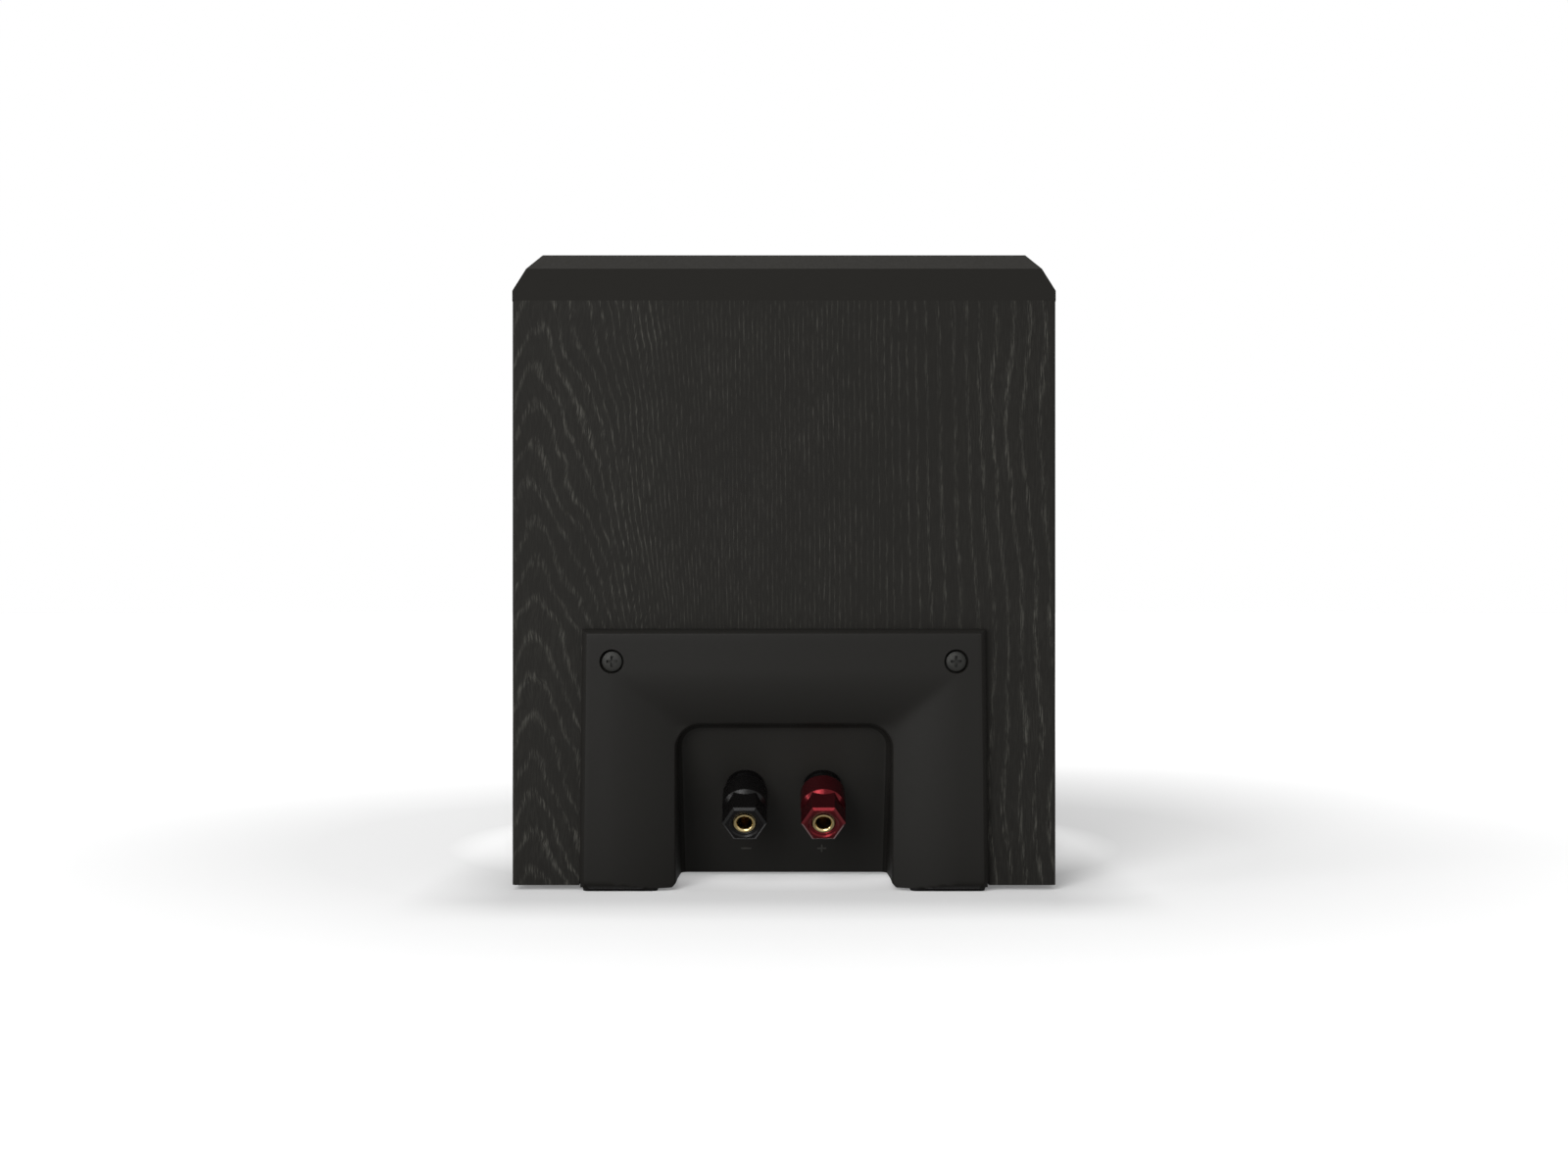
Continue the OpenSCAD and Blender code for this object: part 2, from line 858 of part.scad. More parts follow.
insert_r = stud_r + 1.1;
insert_l = 6;

// Thumb nut: round behind, hexagonal in front
module post_nut(side) {
    at_post(side) difference() {
        union() {
            rotate_extrude()
                polygon([
                    [0, nut_z], [nut_r - 0.9, nut_z], [nut_r - 0.6, nut_z + 2.4],
                    [nut_r, nut_z + 3.4], [nut_r, hex_z - nut_slope],
                    [nut_r - nut_slope, hex_z], [0, hex_z]
                ]);
            translate([0, 0, nut_z])
                cylinder(r = hex_corners / 2, h = post_l - hex_bevel - nut_z, $fn = 6);
            translate([0, 0, post_l - hex_bevel])
                cylinder(r1 = hex_corners / 2, r2 = hex_corners / 2 - hex_bevel, h = hex_bevel, $fn = 6);
        }
        translate([0, 0, nut_z - over]) cylinder(r = stud_r + run_gap, h = post_l);
        translate([0, 0, nut_z - over]) cylinder(r = insert_r, h = insert_l + over);
    }
}

module black_post_nut() {
    color([0.1, 0.1, 0.1]) post_nut(1);
}

module red_post_nut() {
    color([0.75, 0.1, 0.15]) post_nut(-1);
}

module nut_insert(side) {
    gilt() at_post(side) ring(insert_r, stud_r + run_gap, nut_z, nut_z + insert_l);
}

module black_nut_insert() {
    nut_insert(1);
}

module red_nut_insert() {
    nut_insert(-1);
}

module post_inner_washers() {
    color([0.6, 0.6, 0.6]) at_posts()
        ring(4.5, tail_r, -panel_t - inner_washer_t, -panel_t);
}

tab_out = -panel_t - inner_washer_t - tab_t;

module post_inner_nuts() {
    gilt() at_posts() translate([0, 0, tab_out - inner_nut_t]) difference() {
        cylinder(r = 7 / sqrt(3), h = inner_nut_t, $fn = 6);
        translate([0, 0, -over]) cylinder(r = tail_r, h = inner_nut_t + 2 * over);
    }
}

tab_l = 14;

module solder_tabs() {
    color([0.7, 0.7, 0.68]) at_posts() translate([0, 0, tab_out]) difference() {
        union() {
            cylinder(r = 4.2, h = tab_t);
            translate([-2, -tab_l, 0]) cube([4, tab_l, tab_t]);
        }
        translate([0, 0, -over]) cylinder(r = tail_r, h = tab_t + 2 * over);
    }
}

// ---------- woofer ----------

module woofer_trim_ring() {
    color([0.07, 0.07, 0.07]) at_woofer() rotate_extrude($fn = 96)
        polygon([
            [trim_r - 1.5, rebate_w], [trim_r, rebate_w], [trim_r, baffle_t + 0.3],
            for (a = [0:15:180])
                [
                    (trim_r + trim_in_r) / 2 + cos(a) * (trim_r - trim_in_r) / 2,
                    baffle_t + 0.3 + 1.1 * sin(a)
                ],
            [trim_in_r, flange_top_w], [trim_in_r + 1.2, flange_top_w],
            [trim_in_r + 1.2, baffle_t - 0.9], [trim_r - 1.5, baffle_t - 0.9]
        ]);
}

module sector(r, half_angle) {
    polygon([
        [0, 0],
        for (k = [-1:0.5:1]) [r * cos(k * half_angle), r * sin(k * half_angle)]
    ]);
}

module basket_cone_solid() {
    translate([0, 0, basket_floor_w])
        cylinder(r1 = basket_floor_r, r2 = basket_r, h = basket_straight_w - basket_floor_w, $fn = 96);
}

module woofer_basket() {
    color([0.1, 0.1, 0.1]) at_woofer() difference() {
        union() {
            rotate_extrude($fn = 96)
                polygon([
                    [plate_bore_r + 1.5, basket_floor_w], [basket_floor_r, basket_floor_w],
                    [basket_r, basket_straight_w], [basket_r, flange_w], [flange_r, flange_w],
                    [flange_r, flange_top_w], [basket_r - basket_wall, flange_top_w],
                    [basket_r - basket_wall, basket_straight_w - 0.8],
                    [basket_floor_r - basket_wall * 0.7, basket_floor_w + basket_floor_t],
                    [plate_bore_r + 1.5, basket_floor_w + basket_floor_t]
                ]);
            ring(spider_r + 0.6, spider_r - spider_seat_t, basket_floor_w + basket_floor_t - 0.2,
                spider_w);
        }
        // Six windows between the spokes
        for (a = [30:60:330])
            rotate(a) translate([0, 0, basket_floor_w + 4])
                difference() {
                    linear_extrude(basket_straight_w - basket_floor_w - 6) sector(basket_r + 4, 20);
                    cylinder(r = spider_r + 0.7, h = 40);
                }
        for (a = [45:90:315])
            rotate(a) translate([woofer_screw_r, 0, flange_top_w]) flat_screw_hole(1.5, 2.9, 5);
    }
}

module woofer_gasket() {
    color([0.15, 0.15, 0.15]) at_woofer() difference() {
        ring(flange_r, woofer_cut_r + 0.3, rebate_w, flange_w);
        for (a = [45:90:315])
            rotate(a) translate([woofer_screw_r, 0, rebate_w - over])
                cylinder(r = 1.5 + run_gap, h = gasket_t + 2 * over);
    }
}

module woofer_surround() {
    mid_r = cone_r + roll_r;
    color([0.05, 0.05, 0.05]) at_woofer() rotate_extrude($fn = 96)
        translate([0, flange_top_w]) {
            intersection() {
                difference() {
                    translate([mid_r, 0]) circle(roll_r);
                    translate([mid_r, 0]) circle(roll_r - surround_t);
                }
                translate([cone_r, 0]) square([2 * roll_r, 2 * roll_r]);
            }
            translate([surround_r - surround_t, 0]) square([surround_land + surround_t, surround_t]);
            translate([cone_r - cone_land, 0]) square([cone_land + surround_t, surround_t]);
        }
}

cone_steps = 8;
function cone_at(t) = [
    former_r + (cone_r - former_r) * t,
    neck_w + (flange_top_w - cone_t - neck_w) * (0.8 * t + 0.2 * t ^ 2)
];

module woofer_cone() {
    color([0.68, 0.42, 0.26]) at_woofer() rotate_extrude($fn = 96)
        polygon([
            for (k = [0:cone_steps]) cone_at(k / cone_steps),
            [cone_r, flange_top_w], [cone_r - cone_land, flange_top_w],
            for (k = [cone_steps - 1:-1:0]) cone_at(k / cone_steps) + [0, cone_t * 1.25]
        ]);
}

module woofer_dust_cap() {
    cap_h = 5.2;
    ball_r = (cap_r ^ 2 + cap_h ^ 2) / 2 / cap_h;
    t = (cap_r - former_r) / (cone_r - former_r);
    base_w = cone_at(t)[1] + cone_t * 1.25;
    color([0.68, 0.42, 0.26]) at_woofer() translate([0, 0, base_w])
        rotate_extrude($fn = 96) intersection() {
            difference() {
                translate([0, cap_h - ball_r]) circle(ball_r, $fn = 128);
                translate([0, cap_h - ball_r]) circle(ball_r - 0.6, $fn = 128);
            }
            square([cap_r + 1, cap_h + 1]);
        }
}

module woofer_coil_former() {
    color([0.75, 0.55, 0.3]) at_woofer()
        ring(former_r, former_r - former_t, coil_w - 1, neck_w + cone_t);
}

module woofer_voice_coil() {
    color([0.72, 0.38, 0.2]) at_woofer() ring(former_r + coil_t, former_r, coil_w, coil_w + coil_l);
}

// Corrugated disc: a sine wave along the radius that dies out before the glued rim
module woofer_spider() {
    thick = 0.6;
    steps = 36;
    waves = 5;
    span = spider_r - spider_seat_t - fit_gap - former_r;
    function wave_at(k) = sin(360 * waves * k / steps) * min(1, k / 5, (steps - k) / 5);
    color([0.8, 0.65, 0.35]) at_woofer() rotate_extrude()
        polygon([
            for (k = [0:steps]) [former_r + span * k / steps, spider_w + wave_at(k)],
            [spider_r, spider_w], [spider_r, spider_w + thick],
            for (k = [steps:-1:0]) [former_r + span * k / steps, spider_w + thick + wave_at(k)]
        ]);
}

module woofer_top_plate() {
    color([0.6, 0.6, 0.62]) at_woofer() ring(magnet_r, plate_bore_r, gap_plate_w, basket_floor_w);
}

module woofer_magnet() {
    color([0.2, 0.2, 0.21]) at_woofer() ring(magnet_r, pole_r + 5, magnet_w, gap_plate_w);
}

module woofer_back_plate() {
    color([0.6, 0.6, 0.62]) at_woofer() difference() {
        union() {
            translate([0, 0, back_plate_w]) cylinder(r = magnet_r - 1.5, h = pole_t);
            translate([0, 0, back_plate_w]) cylinder(r = pole_r, h = basket_floor_w - back_plate_w);
        }
        translate([0, 0, back_plate_w - over]) cylinder(r = 4, h = body_d);
    }
}

strip_out = basket_r + 8;
strip_w = basket_straight_w - 4;

module woofer_terminal_strip() {
    color([0.35, 0.25, 0.15]) at_woofer() difference() {
        translate([-9, -strip_out, strip_w]) cube([18, strip_out - basket_floor_r, 1.5]);
        basket_cone_solid();
    }
}

module woofer_screws() {
    color([0.2, 0.2, 0.2]) at_woofer()
        for (a = [45:90:315])
            rotate(a) translate([woofer_screw_r, 0, flange_top_w]) flat_screw(1.5, 2.9, 10);
}

// ---------- horn tweeter ----------

horn_points = 48;

// A ring of points on a square with round corners, at height w
function square_ring(half, corner, w) = [
    for (i = [0:horn_points - 1])
        let (
            per = horn_points / 4,
            q = floor(i / per),
            a = q * 90 + 90 * (i % per + 0.5) / per,
            sx = q == 0 || q == 3 ? 1 : -1,
            sy = q < 2 ? 1 : -1
        )
        [sx * (half - corner) + corner * cos(a), sy * (half - corner) + corner * sin(a), w]
];

// The horn's inside at angle t of the tractrix: half width, corner radius and level
function horn_half(t) = mouth_half * sin(t);
function horn_corner(t) =
    let (f = (horn_half(t) - throat_r) / (mouth_half - throat_r))
    horn_half(t) * (1 - f) + mouth_corner * f;
function horn_level(t) = baffle_t - tractrix(min(horn_half(t), mouth_half - 0.0001));

throat_t = asin(throat_r / mouth_half);
lip_t = 55;
horn_steps = 12;
back_steps = 6;

module tweeter_horn() {
    inner = [
        for (k = [0:horn_steps])
            let (t = throat_t + (90 - throat_t) * k / horn_steps)
            square_ring(horn_half(t), horn_corner(t), horn_level(t))
    ];
    outer = [
        for (k = [0:back_steps])
            let (t = lip_t + (throat_t - lip_t) * k / back_steps)
            square_ring(
                horn_half(t) + horn_wall, horn_corner(t) + horn_wall,
                k == 0 ? horn_under_w : min(horn_level(t), horn_under_w) + horn_wall * 0.2
            )
    ];
    back_r = motor_r + motor_lip;
    rings = [
        square_ring(throat_r, throat_r, horn_back_w),
        each inner,
        square_ring(horn_w / 2, 8, baffle_t),
        square_ring(horn_w / 2, 8, horn_under_w),
        each outer,
        square_ring(throat_r + horn_wall, throat_r + horn_wall, horn_back_w + horn_back_t),
        square_ring(back_r, back_r, horn_back_w + horn_back_t),
        square_ring(back_r, back_r, horn_back_w)
    ];
    color([0.09, 0.09, 0.09]) at_horn() difference() {
        ring_loop(rings);
        for (x = [-1, 1], y = [-1, 1])
            translate([x * horn_screw_at, y * horn_screw_at, baffle_t])
                flat_screw_hole(1.4, 2.7, 8);
        for (a = [90:120:330])
            rotate(a) translate([tweeter_screw_at, 0, horn_back_w - over])
                cylinder(r = 1.25 + run_gap, h = horn_back_t + 2 * over);
    }
}

module horn_gasket() {
    color([0.15, 0.15, 0.15]) at_horn() translate([0, 0, horn_rebate_w]) difference() {
        linear_extrude(gasket_t) rounded_rect(horn_w, horn_w, 8);
        translate([0, 0, -over]) linear_extrude(gasket_t + 2 * over)
            rounded_rect(2 * horn_cut_half + 0.6, 2 * horn_cut_half + 0.6, mouth_corner);
        for (x = [-1, 1], y = [-1, 1])
            translate([x * horn_screw_at, y * horn_screw_at, -over])
                cylinder(r = 1.4 + run_gap, h = gasket_t + 2 * over);
    }
}

tweeter_screw_at = throat_r + horn_wall + 5;

// Bullet on three fins that stand on a ring in the throat
module tweeter_phase_plug() {
    ring_r = throat_r - 0.15;
    color([0.07, 0.07, 0.07]) at_horn() {
        ring(ring_r, ring_r - 1, horn_back_w + 0.1, plug_w + plug_t);
        for (a = [90:120:330])
            rotate(a) translate([2, -plug_t / 2, plug_w]) cube([ring_r - 2.5, plug_t, plug_t]);
        rotate_extrude()
            polygon([
                [0, plug_w], [plug_r, plug_w],
                for (a = [0:15:90]) [plug_r * cos(a), plug_w + 1 + 4 * sin(a)]
            ]);
    }
}

module tweeter_spacer() {
    color([0.1, 0.1, 0.1]) at_horn() difference() {
        ring(motor_r, tweeter_screw_at - 2.6, motor_w, horn_back_w);
        for (a = [90:120:330])
            rotate(a) translate([tweeter_screw_at, 0, motor_w - over])
                cylinder(r = 1.25 + run_gap, h = spacer_t + 2 * over);
    }
}

// Dome, half roll and coil former in one piece
module tweeter_dome() {
    ball_r = (dome_r ^ 2 + dome_h ^ 2) / 2 / dome_h;
    color([0.75, 0.76, 0.78]) at_horn() translate([0, 0, dome_w]) rotate_extrude() {
        intersection() {
            difference() {
                translate([0, dome_h - ball_r]) circle(ball_r, $fn = 96);
                translate([0, dome_h - ball_r]) circle(ball_r - dome_t, $fn = 96);
            }
            square([dome_r + 1, dome_h + 1]);
        }
        translate([dome_r - 0.6, 0]) square([2.6, dome_t]);
        translate([dome_r - 0.4, -4]) square([0.4, 4]);
    }
}

module tweeter_top_plate() {
    color([0.6, 0.6, 0.62]) at_horn() difference() {
        ring(motor_r + motor_lip, dome_r + 0.5, motor_w - motor_plate_t, motor_w);
        for (a = [90:120:330])
            rotate(a) translate([tweeter_screw_at, 0, motor_w - motor_plate_t - over])
                cylinder(r = 1.25, h = motor_plate_t + 2 * over);
    }
}

module tweeter_screws() {
    color([0.3, 0.3, 0.3]) at_horn()
        for (a = [90:120:330])
            rotate(a) translate([tweeter_screw_at, 0, horn_back_w + horn_back_t])
                pan_screw(1.25, 2.2, horn_back_t + spacer_t + motor_plate_t);
}

module tweeter_magnet() {
    color([0.2, 0.2, 0.21]) at_horn() ring(
        motor_r - 1, tweeter_screw_at - 4.5, motor_w - motor_plate_t - motor_magnet_t,
        motor_w - motor_plate_t
    );
}

motor_back_w = motor_w - motor_plate_t - motor_magnet_t - motor_plate_t;

module tweeter_back_plate() {
    color([0.6, 0.6, 0.62]) at_horn() {
        translate([0, 0, motor_back_w]) cylinder(r = motor_r - 1, h = motor_plate_t);
        translate([0, 0, motor_back_w]) cylinder(r = dome_r - 1, h = motor_w - motor_back_w - 0.4);
    }
}

module tweeter_rear_cap() {
    cap_h = 8;
    cap_out = motor_r - 5;
    color([0.1, 0.1, 0.1]) at_horn() translate([0, 0, motor_back_w - cap_h]) difference() {
        rotate_extrude()
            polygon([[0, 0], [cap_out - 1.5, 0], [cap_out, 1.5], [cap_out, cap_h], [0, cap_h]]);
        translate([0, 0, 1.5]) cylinder(r = cap_out - 1.5, h = cap_h);
    }
}

module horn_screws() {
    color([0.2, 0.2, 0.2]) at_horn()
        for (x = [-1, 1], y = [-1, 1])
            translate([x * horn_screw_at, y * horn_screw_at, baffle_t]) flat_screw(1.4, 2.7, 11);
}

// ---------- crossover and wires ----------

module at_board() {
    translate([0, board_y, board_z]) children();
}

module at_board_corners() {
    for (x = [-1, 1], y = [-1, 1])
        translate([
            x * (board_w / 2 - standoff_inset), board_y + y * (board_l / 2 - standoff_inset),
            board_z
        ]) children();
}

module crossover_board() {
    color([0.12, 0.28, 0.16]) difference() {
        at_board() linear_extrude(board_t) rounded_rect(board_w, board_l, 2);
        at_board_corners() translate([0, 0, -over])
            cylinder(r = standoff_bore_r + 0.2, h = board_t + 2 * over);
    }
}

module crossover_standoffs() {
    color([0.85, 0.85, 0.8]) at_board_corners() ring(standoff_r, standoff_bore_r, -standoff_h, 0);
}

module crossover_screws() {
    color([0.6, 0.6, 0.6]) at_board_corners() translate([0, 0, board_t])
        pan_screw(standoff_bore_r, 2.4, board_t + standoff_h - 1);
}

// Two wound bobbins: flanges outside, copper winding between them
module bobbin(r, h) {
    cylinder(r = r, h = 1.2);
    translate([0, 0, h - 1.2]) cylinder(r = r, h = 1.2);
    cylinder(r = r - 1, h = h);
}

module crossover_inductors() {
    color([0.7, 0.4, 0.2]) at_board() translate([0, -board_l / 2, board_t]) {
        translate([-coil_r - 1, coil_r + 6, 0]) bobbin(coil_r, coil_h);
        translate([coil_r + 2, coil_r + 8, 0]) bobbin(coil_r - 3, coil_h - 2);
    }
}

module crossover_capacitors() {
    color([0.2, 0.2, 0.3]) at_board() translate([0, 0, board_t]) {
        translate([-cap_l, 2, can_r]) rotate([0, 90, 0]) cylinder(r = can_r, h = cap_l);
        translate([12, 6, 0]) cylinder(r = can_r, h = cap_l - 2);
        translate([4 - cap_l, 10, 0]) cube([cap_l, box_w, box_h]);
    }
}

module crossover_resistors() {
    color([0.85, 0.85, 0.82]) at_board() translate([0, board_l / 2 - 4, board_t]) {
        translate([10, -resistor_l, 0]) cube([resistor_t, resistor_l, resistor_t]);
        translate([-4, -resistor_l / 2 - 3, 0]) cube([resistor_l / 2, resistor_t, resistor_t]);
    }
}

// A tube swept along a smooth curve through the points
function spline(a, b, c, d, t) = 0.5 * (
    2 * b + (c - a) * t + (2 * a - 5 * b + 4 * c - d) * t ^ 2 + (3 * b - a - 3 * c + d) * t ^ 3
);
function smooth_path(p, per) = [
    for (i = [0:len(p) - 2], k = [0:per - 1])
        spline(p[max(i - 1, 0)], p[i], p[i + 1], p[min(i + 2, len(p) - 1)], k / per),
    p[len(p) - 1]
];

module wire(route) {
    sides = 8;
    path = smooth_path(route, 3);
    last = len(path) - 1;
    rings = [
        for (i = [0:last])
            let (
                run = i == 0 ? route[1] - route[0]
                    : i == last ? route[len(route) - 1] - route[len(route) - 2]
                    : path[i + 1] - path[i - 1],
                t = run / norm(run),
                u = cross(t, [1, 0, 0]) / norm(cross(t, [1, 0, 0])),
                v = cross(t, u)
            )
            [for (k = [0:sides - 1])
                path[i] + wire_d / 2 * (cos(360 * k / sides) * u + sin(360 * k / sides) * v)]
    ];
    polyhedron(
        points = [for (r = rings) each r],
        faces = [
            [for (k = [sides - 1:-1:0]) k],
            for (i = [0:last - 1], k = [0:sides - 1])
                let (
                    a = i * sides + k,
                    b = i * sides + (k + 1) % sides
                )
                each [[a, b, b + sides], [a, b + sides, a + sides]],
            [for (k = [0:sides - 1]) last * sides + k]
        ]
    );
}

board_top = board_z + board_t;

module input_wires() {
    for (side = [-1, 1])
        color(side > 0 ? [0.08, 0.08, 0.08] : [0.7, 0.1, 0.1])
            wire([
                post_pt(side, tab_l - 2, tab_out),
                post_pt(side, tab_l - 2, tab_out - 10),
                [side * 12, 66, 46], [side * 14, 40, 34], [side * 16, 10, 31],
                [side * 25, board_y + board_l / 2 - 10, board_top + 12],
                [side * 25, board_y + board_l / 2 - 10, board_top]
            ]);
}

module woofer_wires() {
    for (side = [-1, 1])
        color(side > 0 ? [0.1, 0.1, 0.1] : [0.7, 0.1, 0.1])
            wire([
                slope_pt(side * 6, woofer_v - strip_out + 3, strip_w),
                slope_pt(side * 6, woofer_v - strip_out + 3, strip_w - 12),
                [side * 5, 6, 68], [side * 3, -2, 46],
                [side * 3, board_y + board_l / 2 - 3, board_top + 13],
                [side * 3, board_y + board_l / 2 - 3, board_top]
            ]);
}

module tweeter_wires() {
    lug_v = horn_v + motor_r + motor_lip - 1.4;
    lug_w = motor_w - motor_plate_t;
    for (side = [-1, 1])
        color(side > 0 ? [0.1, 0.1, 0.1] : [0.1, 0.2, 0.6])
            wire([
                slope_pt(side * 3, lug_v, lug_w),
                slope_pt(side * 3, lug_v, lug_w - 12),
                [side * 9, -10, 56], [side * 18, -16, 40],
                [side * 24, board_y + board_l / 2 - 16, board_top + 12],
                [side * 24, board_y + board_l / 2 - 16, board_top]
            ]);
}

left_side_panel();
right_side_panel();
bottom_panel();
rear_panel();
front_panel();
baffle();
wadding_pads();
front_feet();
terminal_housing();
terminal_gasket();
rear_foot_pads();
rear_housing_screws();
under_housing_screws();
black_post_stud();
red_post_stud();
black_post_collar();
red_post_collar();
black_clamp_washer();
red_clamp_washer();
black_post_nut();
red_post_nut();
black_nut_insert();
red_nut_insert();
post_inner_washers();
post_inner_nuts();
solder_tabs();
woofer_trim_ring();
woofer_basket();
woofer_gasket();
woofer_surround();
woofer_cone();
woofer_dust_cap();
woofer_coil_former();
woofer_voice_coil();
woofer_spider();
woofer_top_plate();
woofer_magnet();
woofer_back_plate();
woofer_terminal_strip();
woofer_screws();
tweeter_horn();
horn_gasket();
tweeter_phase_plug();
tweeter_spacer();
tweeter_dome();
tweeter_top_plate();
tweeter_magnet();
tweeter_back_plate();
tweeter_rear_cap();
horn_screws();
tweeter_screws();
crossover_board();
crossover_inductors();
crossover_capacitors();
crossover_resistors();
crossover_standoffs();
crossover_screws();
input_wires();
woofer_wires();
tweeter_wires();
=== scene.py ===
import json
import math

import bmesh
import bpy
import numpy as np
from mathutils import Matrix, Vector


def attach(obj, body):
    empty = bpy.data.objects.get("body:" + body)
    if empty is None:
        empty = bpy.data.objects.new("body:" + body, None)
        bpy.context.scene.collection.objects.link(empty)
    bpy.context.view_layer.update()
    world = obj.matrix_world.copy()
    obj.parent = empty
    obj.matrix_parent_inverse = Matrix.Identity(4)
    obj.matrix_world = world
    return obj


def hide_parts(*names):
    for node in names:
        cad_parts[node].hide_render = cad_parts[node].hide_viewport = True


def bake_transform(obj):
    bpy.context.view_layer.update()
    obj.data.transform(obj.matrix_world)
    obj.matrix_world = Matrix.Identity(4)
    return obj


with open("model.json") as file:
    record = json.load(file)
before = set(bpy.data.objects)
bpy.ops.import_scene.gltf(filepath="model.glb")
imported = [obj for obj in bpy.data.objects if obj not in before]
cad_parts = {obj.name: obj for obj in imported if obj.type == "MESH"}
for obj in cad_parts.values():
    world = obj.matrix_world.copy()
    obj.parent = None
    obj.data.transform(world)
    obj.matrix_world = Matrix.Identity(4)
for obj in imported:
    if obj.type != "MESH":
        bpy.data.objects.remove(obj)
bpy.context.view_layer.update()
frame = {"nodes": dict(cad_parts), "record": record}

# ---------- sizes shared with the solids, in mm ----------

MM = 0.001
# Baffle: v runs up the slope, w out of it, both from the middle of the sloping joint
SLOPE = math.radians(20)
MID_Y, MID_Z = -2.0, 120.59
WOOFER_V, HORN_V = 53.127, -53.873   # driver centres
BAFFLE_TOP = 14.0                    # baffle face above the joint
# Woofer
FLANGE_TOP = 12.5                    # top of the basket flange
TRIM_OUT, TRIM_IN, TRIM_LOW = 58.0, 46.9, 9.0
TRIM_SKIRT, TRIM_HOOK, TRIM_UNDER = 1.5, 1.2, 13.1
TRIM_SHOULDER, TRIM_CROWN = 0.3, 1.1 # the ring's edges above the baffle, and its bulge
CONE_R, CONE_T, ROLL_R, SURROUND_T = 36.5, 0.7, 3.75, 0.8
CONE_UPRIGHT = CONE_T * 1.25         # the sloping cone's thickness measured along its axis
LAND_OUT, LAND_IN = 2.6, 2.0         # the surround's flat lands
FORMER_R, CAP_R, CAP_H, CAP_T = 12.7, 14.5, 5.2, 0.6
NECK_W = FLANGE_TOP - 19
# Horn
HORN_HALF, HORN_CORNER, MOUTH_HALF, MOUTH_CORNER = 45.0, 8.0, 39.0, 18.0
THROAT_R, HORN_WALL, HORN_UNDER, HORN_BACK = 12.7, 2.5, 11.0, -20.8
HORN_EASE, MOTOR_FLANGE_R, MOTOR_FLANGE_T = 0.6, 27.0, 3.0
HORN_SCREW = 40                      # screws from the horn's middle lines
# Terminal housing
REAR_Y, FACE_Y = 106.0, 110.0        # cabinet back, and the moulding's face
PLATE_TOP, PLATE_LOW = 71.0, 0.9
FOOT_HALF, FOOT_TOP, PLATE_HALF, PLATE_TAPER = 54.2, 2.8, 55.2, 0.8
RIM_HALF = 54.4                      # half width of the plate's top edge
BEVEL = 1.6                          # width of the bevel round the face
RECESS_HALF, RECESS_TOP, RECESS_R = 29.3, 45.0, 6.6
FLARE_SIDE, FLARE_TOP, FLARE_DEEP = 19.0, 15.0, 4.0
LIP_R, SEAT_R = 0.7, 2.0             # rounding of the recess's lip, and fillet on its panel
BOX_WALL, BOX_RIM, BOX_RIM_Y = 2.5, 9.0, 101.0
PANEL_Y, PANEL_Z, PANEL_LEAN, PANEL_T = 91.5, 27.0, math.radians(30), 3.0
TONGUE_T, TONGUE_Y = 2.6, 61.0
TONGUE_NOTCHES = ((39.3, 101.0), (31.8, 72.9))   # half width, and where it starts
# Housing screws
SCREW_X, SCREW_Z, SCREW_SEAT, SCREW_HEAD = (-46.4, 46.4), 62.2, 107.8, 2.65
SHANK_R, SHANK_L, POINT_L = 1.6, 12.0, 2.6
HEAD_RISE, HEAD_DOME = 1.5, 0.4
CROSS_L, CROSS_W, CROSS_FLOOR = 3.0, 0.75, 0.3
# Binding posts, measured out from the panel
POST_X, POST_TILT = 10.7, math.radians(30)
STUD_R, STUD_TAIL_R, STUD_TAIL = 3.3, 2.0, 11.0
THREAD_PITCH, THREAD_DEPTH, THREAD_LOW, THREAD_TOP = 1.0, 0.28, 0.53, 16.3
WIRE_HOLE_R, WIRE_HOLE_OUT, WIRE_HOLE_REACH = 1.2, 4.7, 7.0
GRIP_END, GRIP_CONE_END, NUT_TOP = 10.2, 11.5, 18.0
HEX_R, HEX_BEVEL = 6.05, 0.6
MARK_DOWN = 21.6                     # polarity marks below the posts, along the panel


# ---------- helpers ----------

def put(name, data):
    """A new object in the scene."""
    obj = bpy.data.objects.new(name, data)
    bpy.context.scene.collection.objects.link(obj)
    return obj


def cleared(owner):
    """The emptied node tree of a material or a world."""
    owner.use_nodes = True
    owner.node_tree.nodes.clear()
    return owner.node_tree


# ---------- camera ----------

EYE = (0.0, 0.656, 0.082)   # in m
SENSOR, FOCAL = 36.0, 46.6  # in mm


def make_camera():
    """Level camera behind the cabinet, on its middle line."""
    lens = bpy.data.cameras.new("rear_view")
    lens.sensor_width, lens.lens = SENSOR, FOCAL
    lens.clip_start, lens.clip_end = 0.01, 50.0
    eye = put("rear_view", lens)
    eye.location = EYE
    eye.rotation_euler = (math.radians(90), 0.0, math.radians(180))
    bpy.context.scene.camera = eye


make_camera()


# ---------- materials ----------

def linear(hex_colour):
    """sRGB hex to linear RGBA."""
    s = np.array([int(hex_colour[i:i + 2], 16) for i in (1, 3, 5)]) / 255
    rgb = np.where(s <= 0.04045, s / 12.92, ((s + 0.055) / 1.055) ** 2.4)
    return (*rgb.tolist(), 1.0)


def add(tree, kind, sockets=None, **settings):
    """Adds one node. sockets gives an input's name or number a value, a node or a node's output."""
    new = tree.nodes.new(kind)
    for key, value in settings.items():
        setattr(new, key, value)
    for key, value in (sockets or {}).items():
        if isinstance(value, bpy.types.Node):
            value = value.outputs[0]
        if isinstance(value, bpy.types.NodeSocket):
            tree.links.new(value, new.inputs[key])
        else:
            new.inputs[key].default_value = value
    return new


